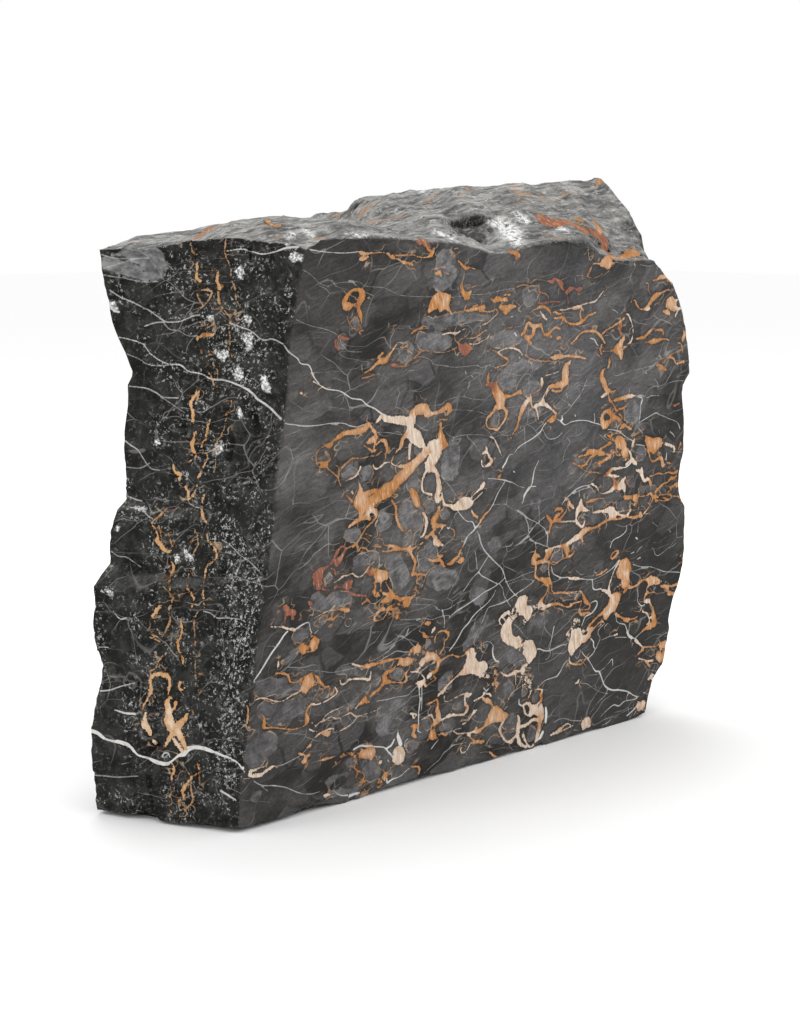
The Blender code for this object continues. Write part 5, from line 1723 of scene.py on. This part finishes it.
def make_block():
    """The shown block, with its markings stored on its points."""
    bm = cad_mesh()
    tree = BVHTree.FromBMesh(bm)
    sawn = [f for f in bm.faces if is_sawn(f)]
    corner = np.array((min(v.co.x for f in sawn for v in f.verts), FACE_Y, 0.0))
    marks = trace_marks(tree, corner)

    bmesh.ops.delete(bm, geom=sawn, context="FACES")
    refine_skin(bm, marks["broken_gold"] + marks["broken_white"], corner)
    flat = {v: v.co.copy() for v in bm.verts}
    lift_skyline(bm, corner)
    roughen_skin(bm, marks["smooth"], marks["shaded_pit"], corner)
    loop = sawn_loop(bm)
    chip_arris(loop)
    fill_sawn_face(bm, loop, marks["gold"] + marks["white"], corner)

    # The markings were cast on the CAD skin, so they are measured where its points lay there.
    bm.normal_update()
    normals = np.array([v.normal for v in bm.verts])
    broken = np.array([v.co.y >= FACE_Y + TOUCH for v in bm.verts], float)
    points = (np.array([flat.get(v, v.co) for v in bm.verts]) - corner) / MM
    mesh = bpy.data.meshes.new("marble_block_shown")
    bm.to_mesh(mesh)
    bm.free()
    store_fields(mesh, points, normals, broken, marks)
    add_bake_map(mesh)
    mesh.polygons.foreach_set("use_smooth", [False] * len(mesh.polygons))
    block = bpy.data.objects.new("marble_block_shown", mesh)
    bpy.context.scene.collection.objects.link(block)
    return block


# Places of the six sides on the bake map: axes across and up, corner and millimetres per unit.
BAKE_SIDES = {
    "front": (0, 2, 0.005, 0.460, 1150.0),
    "left": (1, 2, 0.700, 0.460, 1150.0),
    "top": (0, 1, 0.005, 0.235, 1250.0),
    "under": (0, 1, 0.005, 0.010, 1250.0),
    "back": (0, 2, 0.645, 0.010, 2300.0),
    "right": (1, 2, 0.860, 0.330, 2300.0),
}


def side_of(normal):
    """The side of the bake map that a face goes on."""
    if normal.y < -0.95:
        return "front"
    size = [abs(c) for c in normal]
    axis = size.index(max(size))
    if axis == 0:
        return "left" if normal.x < 0 else "right"
    if axis == 2:
        return "top" if normal.z > 0 else "under"
    return "back" if normal.y > 0 else "front"


def add_bake_map(mesh):
    """A flat map of all sides, with the sawn face given the largest share."""
    layer = mesh.uv_layers.new(name="OFBake")
    low = Vector((LOW.x, LOW.y, LOW.z))
    for polygon in mesh.polygons:
        across, up, u0, v0, scale = BAKE_SIDES[side_of(polygon.normal)]
        for loop in polygon.loop_indices:
            place = (mesh.vertices[mesh.loops[loop].vertex_index].co - low) / MM
            layer.data[loop].uv = (u0 + place[across] / scale, v0 + place[up] / scale)


# ---------------------------------------------------------------- material

def srgb(red, green, blue):
    """A screen colour, 0 to 255, as the linear colour a shader takes."""
    linear = []
    for value in (red, green, blue):
        c = value / 255.0
        linear.append(c / 12.92 if c <= 0.04045 else ((c + 0.055) / 1.055) ** 2.4)
    return (*linear, 1.0)


class Graph:
    """Small helpers for building a node tree."""

    def __init__(self, tree):
        self.tree = tree

    def put(self, socket, value):
        if isinstance(value, bpy.types.NodeSocket):
            self.tree.links.new(value, socket)
        elif value is not None:
            socket.default_value = value

    def math(self, operation, a, b=None, c=None, clamp=False):
        node = self.tree.nodes.new("ShaderNodeMath")
        node.operation = operation
        node.use_clamp = clamp
        for socket, value in zip(node.inputs, (a, b, c)):
            self.put(socket, value)
        return node.outputs[0]

    def step(self, value, start, end, low=0.0, high=1.0):
        node = self.tree.nodes.new("ShaderNodeMapRange")
        node.interpolation_type = "SMOOTHSTEP"
        for name, given in (("Value", value), ("From Min", start), ("From Max", end),
                            ("To Min", low), ("To Max", high)):
            self.put(node.inputs[name], given)
        return node.outputs["Result"]

    def mix(self, factor, a, b, blend="MIX"):
        node = self.tree.nodes.new("ShaderNodeMix")
        node.data_type = "RGBA"
        node.blend_type = blend
        self.put(node.inputs["Factor"], factor)
        self.put(node.inputs[6], a)
        self.put(node.inputs[7], b)
        return node.outputs[2]

    def tint(self, colour, factor):
        """The colour times a factor."""
        return self.mix(1.0, colour, factor, "MULTIPLY")

    def paint(self, base, amount, colour):
        """The base with a screen colour laid over it by an amount."""
        return self.mix(amount, base, srgb(*colour))

    def between(self, value, start, end, first, second):
        """Two screen colours, passing from first to second as the value goes from start to end."""
        return self.mix(self.step(value, start, end), srgb(*first), srgb(*second))

    def noise(self, vector, scale, detail=2.0, rough=0.5, output="Fac"):
        node = self.tree.nodes.new("ShaderNodeTexNoise")
        self.put(node.inputs["Vector"], vector)
        node.inputs["Scale"].default_value = scale
        node.inputs["Detail"].default_value = detail
        node.inputs["Roughness"].default_value = rough
        return node.outputs[output]

    def patches(self, vector, scale, detail, start, end, low=0.0, high=1.0, rough=0.5):
        """A noise passed through a soft threshold."""
        return self.step(self.noise(vector, scale, detail, rough), start, end, low, high)

    def cells(self, vector, scale, feature="F1", output="Distance"):
        node = self.tree.nodes.new("ShaderNodeTexVoronoi")
        node.feature = feature
        self.put(node.inputs["Vector"], vector)
        node.inputs["Scale"].default_value = scale
        return node.outputs[output]

    def stretch(self, vector, factors, turn=0.0):
        """The vector turned about y by an angle, then scaled along each axis."""
        if turn:
            turned = self.tree.nodes.new("ShaderNodeMapping")
            self.put(turned.inputs["Vector"], vector)
            turned.inputs["Rotation"].default_value = (0.0, turn, 0.0)
            vector = turned.outputs[0]
        node = self.tree.nodes.new("ShaderNodeMapping")
        self.put(node.inputs["Vector"], vector)
        node.inputs["Scale"].default_value = factors
        return node.outputs[0]

    def contour(self, vector, scale, detail, width):
        """Thin lines where a noise passes through its middle."""
        offset = self.math("SUBTRACT", self.noise(vector, scale, detail, 0.55), 0.5)
        return self.step(self.math("ABSOLUTE", offset), width, 0.15 * width)

    def blend(self, *values):
        """The product of several factors."""
        result = values[0]
        for value in values[1:]:
            result = self.math("MULTIPLY", result, value)
        return result

    def shift(self, vector, scale, amount, detail=2.0):
        """The vector moved about by a noise, up to the amount in metres."""
        centre = self.vector("SUBTRACT", self.noise(vector, scale, detail, output="Color"), (0.5, 0.5, 0.5))
        scaled = self.vector("MULTIPLY", centre, (amount, amount, amount))
        return self.vector("ADD", vector, scaled)

    def vector(self, operation, a, b):
        node = self.tree.nodes.new("ShaderNodeVectorMath")
        node.operation = operation
        self.put(node.inputs[0], a)
        self.put(node.inputs[1], b)
        return node.outputs["Value" if operation == "DISTANCE" else "Vector"]

    def field(self, name):
        node = self.tree.nodes.new("ShaderNodeAttribute")
        node.attribute_name = name
        return node.outputs["Fac"]

    def wobble(self, distance, place, pairs):
        """A distance in millimetres, made uneven by noises of (scale, size)."""
        for scale, size in pairs:
            offset = self.math("SUBTRACT", self.noise(place, scale, 2.0), 0.5)
            distance = self.math("MULTIPLY_ADD", offset, size, distance)
        return distance


# Soft darker zones of painted shade and one lighter zone of painted light on the sawn face: centre, reach
# in metres, strength, colour.
PAINTED_SHADE_AND_LIGHT = (
    ((0.31, FACE_Y, 0.10), 0.46, 0.85, (34, 33, 32)),
    ((0.14, FACE_Y, 0.44), 0.36, 0.30, (116, 115, 117)),
    ((-0.20, FACE_Y, 0.60), 0.27, 0.70, (34, 33, 32)),
    ((0.17, FACE_Y, 0.59), 0.23, 0.60, (36, 35, 35)),
    ((-0.25, FACE_Y, 0.12), 0.30, 0.40, (46, 45, 44)),
)


# How the lighter pieces' outline wanders: noises of (scale, size in millimetres).
PIECE_WOBBLE = ((50.0, 9.0), (170.0, 6.0))
BED_TURN = 0.3        # the stone's grain dips by this many radians on the sawn face


def sawn_ground(g, place, warped):
    """Charcoal rock of the sawn face: mottled, with lighter pieces in it, under soft zones of painted shade
    and painted light.
    """
    blotch = g.noise(g.stretch(warped, (1.0, 1.0, 1.5), BED_TURN), 14.0, 6.0, 0.62)
    ground = g.between(blotch, 0.38, 0.64, (34, 33, 32), (74, 72, 70))
    cell_place = g.stretch(warped, (0.75, 1.0, 1.25), BED_TURN)
    cell = g.cells(cell_place, 30.0, output="Color")
    cell_edge = g.cells(cell_place, 30.0, "DISTANCE_TO_EDGE")
    piece = g.blend(g.step(cell, 0.5, 0.75), g.step(cell_edge, 0.01, 0.07), 0.5)
    ground = g.paint(ground, piece, (94, 92, 92))
    light = g.step(g.wobble(g.field("light"), place, PIECE_WOBBLE), 0.4, -1.4)
    mottle = g.noise(warped, 70.0, 5.0, 0.65)
    light_colour = g.between(mottle, 0.35, 0.65, (76, 75, 76), (122, 120, 121))
    ground = g.mix(g.math("MULTIPLY", light, 0.8), ground, light_colour)
    ground = g.paint(ground, g.patches(warped, 7.0, 3.0, 0.5, 0.75, 0.0, 0.5), (100, 98, 96))
    # Painted shade and painted light: soft darker and lighter zones laid over the face's colour.
    for centre, reach, strength, colour in PAINTED_SHADE_AND_LIGHT:
        gap = g.vector("DISTANCE", place, centre)
        gap = g.math("MULTIPLY_ADD", g.noise(place, 9.0, 3.0), 0.2, gap)
        ground = g.paint(ground, g.step(gap, reach, 0.1, 0.0, strength), colour)
    fibre_place = g.stretch(warped, (22.0, 60.0, 150.0), BED_TURN)
    ground = g.tint(ground, g.patches(fibre_place, 3.0, 5.0, 0.3, 0.7, 0.74, 1.26, 0.65))
    return g.tint(ground, g.patches(place, 420.0, 4.0, 0.3, 0.7, 0.8, 1.2, 0.7))


# The hairlines' layers: stretch, turn, scale, detail, width, and their patches' scale and strength.
HAIRLINES = (
    ((0.7, 0.8, 2.4), 0.34, 9.0, 1.0, 0.005, 12.0, 0.3),
    ((0.5, 0.8, 3.4), 0.22, 12.0, 1.5, 0.006, 17.0, 0.24),
    ((1.6, 0.8, 0.7), -0.5, 10.0, 1.0, 0.005, 15.0, 0.17),
)


def hairlines(g, place, ground):
    """Fine pale lines, mostly rising to the right, in fading groups."""
    loose = g.shift(place, 12.0, 0.045, 2.5)
    for factors, turn, scale, detail, width, patch, strength in HAIRLINES:
        line = g.contour(g.stretch(loose, factors, turn), scale, detail, width)
        fade = g.patches(place, patch, 2.0, 0.44, 0.62, 0.0, strength)
        ground = g.paint(ground, g.math("MULTIPLY", line, fade), (176, 173, 168))
    edge = g.cells(g.stretch(loose, (0.8, 1.0, 1.5), 0.4), 17.0, "DISTANCE_TO_EDGE")
    fade = g.patches(place, 18.0, 2.0, 0.46, 0.62, 0.0, 0.4)
    return g.paint(ground, g.math("MULTIPLY", g.step(edge, 0.012, 0.002), fade), (170, 167, 163))


def chipped_glinting_stone(g, place, warped, crushed):
    """Near black stone with pale crystal chips that are partly painted glints, small facets of painted
    light and shade, haze and specks, which come in clumps.
    """
    stone = g.between(g.noise(warped, 45.0, 5.0, 0.65), 0.36, 0.66, (13, 13, 12), (42, 42, 40))
    # Painted light and shade: each small facet is tinted lighter or darker, as a facet that catches the
    # light more or less would be.
    facet_light_and_shade = g.cells(g.shift(place, 90.0, 0.008), 120.0, output="Color")
    stone = g.tint(stone, g.step(facet_light_and_shade, 0.1, 0.9, 0.62, 1.5))
    smooth_gap = g.wobble(g.field("smooth"), place, ((40.0, 8.0), (220.0, 3.0)))
    clump = g.patches(place, 34.0, 4.0, 0.42, 0.58, 0.15, 1.0, 0.6)
    clump = g.blend(g.math("MAXIMUM", clump, crushed), g.step(smooth_gap, -1.0, 3.0, 0.2, 1.0))
    # Pale chips: partly the crystal's own pale colour, partly painted glints of light on its broken facets.
    chip = g.contour(g.shift(place, 120.0, 0.012), 120.0, 3.0, 0.03)
    glint_break = g.patches(place, 300.0, 2.0, 0.5, 0.6)
    stone = g.paint(stone, g.blend(chip, glint_break, clump, 0.85), (188, 188, 184))
    haze = g.patches(place, 150.0, 4.0, 0.5, 0.72, 0.0, 0.5, 0.7)
    stone = g.paint(stone, g.math("MULTIPLY", haze, clump), (112, 112, 109))
    speck_noise = g.noise(g.stretch(warped, (1.0, 1.0, 0.75)), 330.0, 4.0, 0.75)
    speck_start = g.math("MULTIPLY_ADD", crushed, -0.09, 0.65)
    pepper = g.step(speck_noise, speck_start, g.math("ADD", speck_start, 0.06))
    return g.paint(stone, g.blend(pepper, clump, 0.85), (190, 190, 186))


def tool_bruises(g, place, stone):
    """The white bruises that a pointed tool left."""
    gap = g.wobble(g.field("stun"), place, ((130.0, 9.0), (420.0, 7.0)))
    powder = g.noise(place, 380.0, 4.0, 0.7)
    colour = g.between(powder, 0.4, 0.62, (112, 113, 112), (240, 240, 238))
    return g.mix(g.step(gap, 1.2, -1.2), stone, colour)


def pale_shell(g, place, stone):
    """The smooth grey scar at the top of the left end."""
    gap = g.wobble(g.field("shell"), place, ((26.0, 20.0), (90.0, 12.0), (260.0, 5.0)))
    fan = g.noise(g.stretch(place, (1.0, 1.0, 1.6)), 90.0, 5.0, 0.65)
    colour = g.between(fan, 0.34, 0.66, (90, 91, 91), (146, 147, 146))
    amount = g.blend(g.step(gap, 1.5, -1.5), g.step(gap, -14.0, 0.0, 0.35, 1.0), 0.95)
    return g.mix(amount, stone, colour)


def dusty_top(g, place, warped, crushed):
    """The weathered top: streaks along the beds, scratches, tan stains and crushed crystal."""
    barely = g.shift(place, 18.0, 0.007)
    streak = g.noise(g.stretch(barely, (0.24, 1.9, 0.8)), 84.0, 6.0, 0.7)
    dust = g.between(streak, 0.36, 0.64, (84, 84, 83), (156, 155, 152))
    dust = g.tint(dust, g.patches(barely, 24.0, 6.0, 0.36, 0.64, 0.66, 1.26, 0.65))
    speck = g.noise(g.stretch(barely, (0.4, 1.5, 1.0)), 230.0, 5.0, 0.75)
    dust = g.paint(dust, g.step(speck, 0.56, 0.66, 0.0, 0.8), (206, 205, 201))
    dust = g.paint(dust, g.step(speck, 0.42, 0.32, 0.0, 0.6), (54, 54, 53))
    scratch = g.contour(g.stretch(barely, (0.3, 1.4, 1.0)), 75.0, 3.0, 0.03)
    scratch_fade = g.patches(place, 60.0, 3.0, 0.46, 0.62, 0.0, 0.55)
    dust = g.paint(dust, g.math("MULTIPLY", scratch, scratch_fade), (200, 199, 195))
    tan_place = g.stretch(warped, (0.6, 2.0, 1.0))
    dust = g.paint(dust, g.patches(tan_place, 26.0, 4.0, 0.6, 0.68, 0.0, 0.6, 0.7), (176, 132, 92))
    crystal = g.patches(place, 200.0, 5.0, 0.42, 0.56, rough=0.75)
    return g.paint(dust, g.math("MULTIPLY", crystal, crushed), (238, 238, 236))


def broken_ground(g, place, warped):
    """Broken rock: near black, with pale crystal chips that are partly painted glints; what faces up is
    dusty; pits and cracks are darkened with painted shade.
    """
    crushed_gap = g.wobble(g.field("crushed"), place, ((50.0, 14.0), (160.0, 8.0)))
    crushed = g.step(crushed_gap, 5.0, -6.0)
    stone = chipped_glinting_stone(g, place, warped, crushed)
    stone = tool_bruises(g, place, stone)
    stone = pale_shell(g, place, stone)
    parts = g.tree.nodes.new("ShaderNodeSeparateXYZ")
    g.put(parts.inputs[0], place)
    high = g.step(parts.outputs["Z"], 0.5, 0.56, 0.2, 1.0)
    facing_up = g.step(g.field("up"), 0.35, 0.7, 0.0, 0.92)
    stone = g.mix(g.blend(facing_up, high), stone, dusty_top(g, place, warped, crushed))
    # Painted shade: pits, cracks and the recesses under ledges are darkened.
    return g.paint(stone, g.step(g.field("shaded_pit"), 1.5, -0.8, 0.0, 0.8), (20, 19, 17))


def gold_threads(g, place, ground):
    """Thin gold filaments, which branch off near the gold and edge the lighter pieces."""
    near_gold = g.step(g.field("gold"), 11.0, 1.5)
    thread_place = g.shift(place, 30.0, 0.02, 3.0)
    thread = g.contour(g.stretch(thread_place, (0.8, 0.8, 1.4), 0.3), 30.0, 2.0, 0.013)
    piece_gap = g.wobble(g.field("light"), place, PIECE_WOBBLE)
    piece_edge = g.step(g.math("ABSOLUTE", g.math("ADD", piece_gap, 0.4)), 0.75, 0.3)
    thread = g.math("MAXIMUM", thread, piece_edge)
    fade = g.patches(place, 55.0, 2.0, 0.42, 0.58, 0.1, 0.85)
    colour = g.between(g.noise(place, 90.0, 2.0), 0.4, 0.6, (164, 120, 80), (178, 160, 138))
    return g.mix(g.blend(thread, fade, near_gold), ground, colour)


def hidden_gap(g, place):
    """Gold seams for the sides the marks weren't traced on, as a gap in millimetres."""
    loose = g.shift(place, 9.0, 0.09, 4.0)
    edge = g.cells(g.stretch(loose, (1.0, 1.0, 0.8)), 11.0, "DISTANCE_TO_EDGE")
    swell = g.patches(place, 26.0, 3.0, 0.4, 0.8, 0.4, 6.5)
    zone = g.patches(g.stretch(place, (1.0, 1.0, 0.4)), 5.0, 2.0, 0.46, 0.56, 9.0, 0.0)
    gap = g.math("SUBTRACT", g.math("MULTIPLY", edge, 90.0), swell)
    gap = g.math("ADD", gap, zone)
    return g.math("ADD", gap, g.math("MULTIPLY_ADD", g.field("unseen"), -FAR, FAR))


def seam_gap(g, place, strength):
    """The distance to the gold with its edge made ragged, more so on broken stone."""
    gap = g.math("MINIMUM", g.field("gold"), hidden_gap(g, place))
    ragged = g.wobble(0.0, place, ((90.0, 1.6), (240.0, 2.4), (700.0, 1.8)))
    on_broken = g.math("MULTIPLY_ADD", g.field("broken"), 0.7, 1.0)
    raggedness = g.blend(g.step(strength, 0.4, 1.0, 0.45, 1.1), on_broken)
    return g.math("MULTIPLY_ADD", ragged, raggedness, gap)


def gold_colour(g, place, warped, gold_gap):
    """Rust to gold to cream, in fibres that stand upright."""
    tone = g.math("MAXIMUM", g.field("tone"), g.math("MULTIPLY", g.field("unseen"), 0.5))
    tone = g.wobble(tone, g.stretch(warped, (1.0, 1.0, 0.5)), ((40.0, 0.9), (240.0, 0.6)))
    deep = g.step(gold_gap, -0.8, -5.0, 0.0, 0.15)
    tone = g.math("ADD", tone, g.math("MULTIPLY", deep, g.step(tone, 0.2, 0.45)))
    seam = g.between(tone, 0.05, 0.4, (136, 84, 68), (172, 116, 62))
    seam = g.paint(seam, g.step(tone, 0.4, 0.7), (192, 150, 114))
    seam = g.paint(seam, g.step(tone, 0.65, 1.0), (208, 190, 172))
    fibre = g.noise(g.stretch(place, (260.0, 120.0, 50.0), 0.15), 1.6, 4.0, 0.65)
    seam = g.tint(seam, g.step(fibre, 0.3, 0.7, 0.78, 1.14))
    pale = g.blend(g.step(fibre, 0.56, 0.7, 0.0, 0.4), g.step(gold_gap, -0.6, -2.0))
    seam = g.paint(seam, pale, (222, 210, 196))
    rust_place = g.stretch(place, (150.0, 90.0, 34.0), 0.25)
    seam = g.paint(seam, g.patches(rust_place, 1.6, 4.0, 0.52, 0.62, 0.0, 0.55, 0.65), (176, 124, 74))
    seam = g.paint(seam, g.patches(place, 75.0, 4.0, 0.6, 0.7, 0.0, 0.4, 0.7), (132, 92, 62))
    not_rust = g.step(tone, 0.25, 0.45, 0.0, 0.4)
    paler = g.blend(g.field("broken"), not_rust, g.step(g.field("up"), 0.6, 0.3))
    return g.paint(seam, paler, (222, 184, 138))


def white_veins(g, place, ground):
    """White calcite veins, fainter where they are fine."""
    gap = g.wobble(g.field("white"), place, ((70.0, 0.5), (350.0, 0.9)))
    fade = g.blend(g.field("white_light"), g.patches(place, 120.0, 3.0, 0.25, 0.7, 0.75, 1.15))
    amount = g.math("MULTIPLY", g.step(gap, 0.12, -0.35), fade, clamp=True)
    return g.paint(ground, amount, (210, 208, 203))


def marble_colour(g, place):
    """The whole colour: ground, hairlines, threads, the gold's dark rim, veins, then gold."""
    warped = g.shift(place, 28.0, 0.016)
    ground = g.mix(g.field("broken"), sawn_ground(g, place, warped), broken_ground(g, place, warped))
    ground = hairlines(g, place, ground)
    ground = gold_threads(g, place, ground)
    strength = g.math("MAXIMUM", g.field("strength"), g.math("MULTIPLY", g.field("unseen"), 0.9))
    gold_gap = seam_gap(g, place, strength)
    ground = g.tint(ground, g.step(gold_gap, 0.2, 4.0, 0.7, 1.0))
    ground = white_veins(g, place, ground)
    gold = g.blend(g.step(gold_gap, 0.0, -0.45), strength)
    return g.mix(gold, ground, gold_colour(g, place, warped, gold_gap))


BUMP_STRENGTH = 0.5
BUMP_HEIGHT = 0.0016      # metres


def marble_material():
    """Marble, honed on the sawn face and rough where it is broken."""
    material = bpy.data.materials.new("marble")
    material.use_nodes = True
    tree = material.node_tree
    tree.nodes.clear()
    g = Graph(tree)
    place = tree.nodes.new("ShaderNodeTexCoord").outputs["Object"]
    broken = g.field("broken")
    rough = g.patches(place, 1400.0, 3.0, 0.2, 0.8, 0.46, 0.60, 0.6)
    relief = g.math("MULTIPLY_ADD", broken, 0.94, 0.06)
    bump = tree.nodes.new("ShaderNodeBump")
    bump.inputs["Strength"].default_value = BUMP_STRENGTH
    bump.inputs["Distance"].default_value = BUMP_HEIGHT
    g.put(bump.inputs["Height"], g.blend(relief, g.noise(place, 420.0, 4.0, 0.7)))
    shader = tree.nodes.new("ShaderNodeBsdfPrincipled")
    g.put(shader.inputs["Base Color"], marble_colour(g, place))
    g.put(shader.inputs["Roughness"], g.math("MULTIPLY_ADD", broken, 0.16, rough))
    g.put(shader.inputs["Normal"], bump.outputs[0])
    g.put(shader.inputs["Specular IOR Level"], g.math("MULTIPLY_ADD", broken, 0.03, 0.14))
    output = tree.nodes.new("ShaderNodeOutputMaterial")
    tree.links.new(shader.outputs[0], output.inputs["Surface"])
    return material


# ---------------------------------------------------------------- stage

FLOOR_REACH = 12.0        # metres
FLOOR_COLOUR = (0.97, 0.97, 0.97, 1.0)
AIM = (0.0, 0.0, 0.3)     # what every lamp points at
# The lamps: place, size in metres, power in watts.
LAMPS = {
    "key": ((1.6, -3.2, 2.8), 1.8, 26.0),
    "rake": ((-2.6, 0.9, 2.4), 1.2, 14.0),
    "overhead": ((0.8, 1.2, 3.2), 1.8, 34.0),
}


def make_floor():
    reach = FLOOR_REACH
    mesh = bpy.data.meshes.new("floor")
    mesh.from_pydata([(-reach, -reach, 0), (reach, -reach, 0), (reach, reach, 0), (-reach, reach, 0)],
                     [], [(0, 1, 2, 3)])
    material = bpy.data.materials.new("floor")
    material.use_nodes = True
    shader = material.node_tree.nodes["Principled BSDF"]
    shader.inputs["Base Color"].default_value = FLOOR_COLOUR
    shader.inputs["Roughness"].default_value = 0.9
    mesh.materials.append(material)
    floor = bpy.data.objects.new("floor", mesh)
    bpy.context.scene.collection.objects.link(floor)


def add_lamp(name, place, size, power):
    lamp = bpy.data.lights.new(name, "AREA")
    lamp.size = size
    lamp.energy = power
    holder = bpy.data.objects.new(name, lamp)
    holder.location = place
    holder.rotation_euler = (Vector(AIM) - Vector(place)).to_track_quat("-Z", "Y").to_euler()
    bpy.context.scene.collection.objects.link(holder)


def make_world(scene):
    """White surroundings, shown without any film look."""
    world = bpy.data.worlds.new("studio")
    world.use_nodes = True
    background = world.node_tree.nodes["Background"]
    background.inputs["Color"].default_value = (1.0, 1.0, 1.0, 1.0)
    background.inputs["Strength"].default_value = 1.0
    scene.world = world
    scene.view_settings.view_transform = "Standard"


def make_camera(scene):
    """The photograph's view."""
    camera = bpy.data.cameras.new("camera")
    camera.sensor_width = SENSOR
    camera.lens = FOCAL_PIXELS / PICTURE_SIZE[1] * SENSOR
    camera.clip_end = 50.0
    holder = bpy.data.objects.new("camera", camera)
    holder.location = CAMERA_PLACE
    holder.rotation_euler = CAMERA_TURN
    scene.collection.objects.link(holder)
    scene.camera = holder


def make_stage():
    make_floor()
    for name, (place, size, power) in LAMPS.items():
        add_lamp(name, place, size, power)
    make_world(bpy.context.scene)
    make_camera(bpy.context.scene)


block = make_block()
block.data.materials.append(marble_material())
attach(block, "root")
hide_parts(NODE)
make_stage()
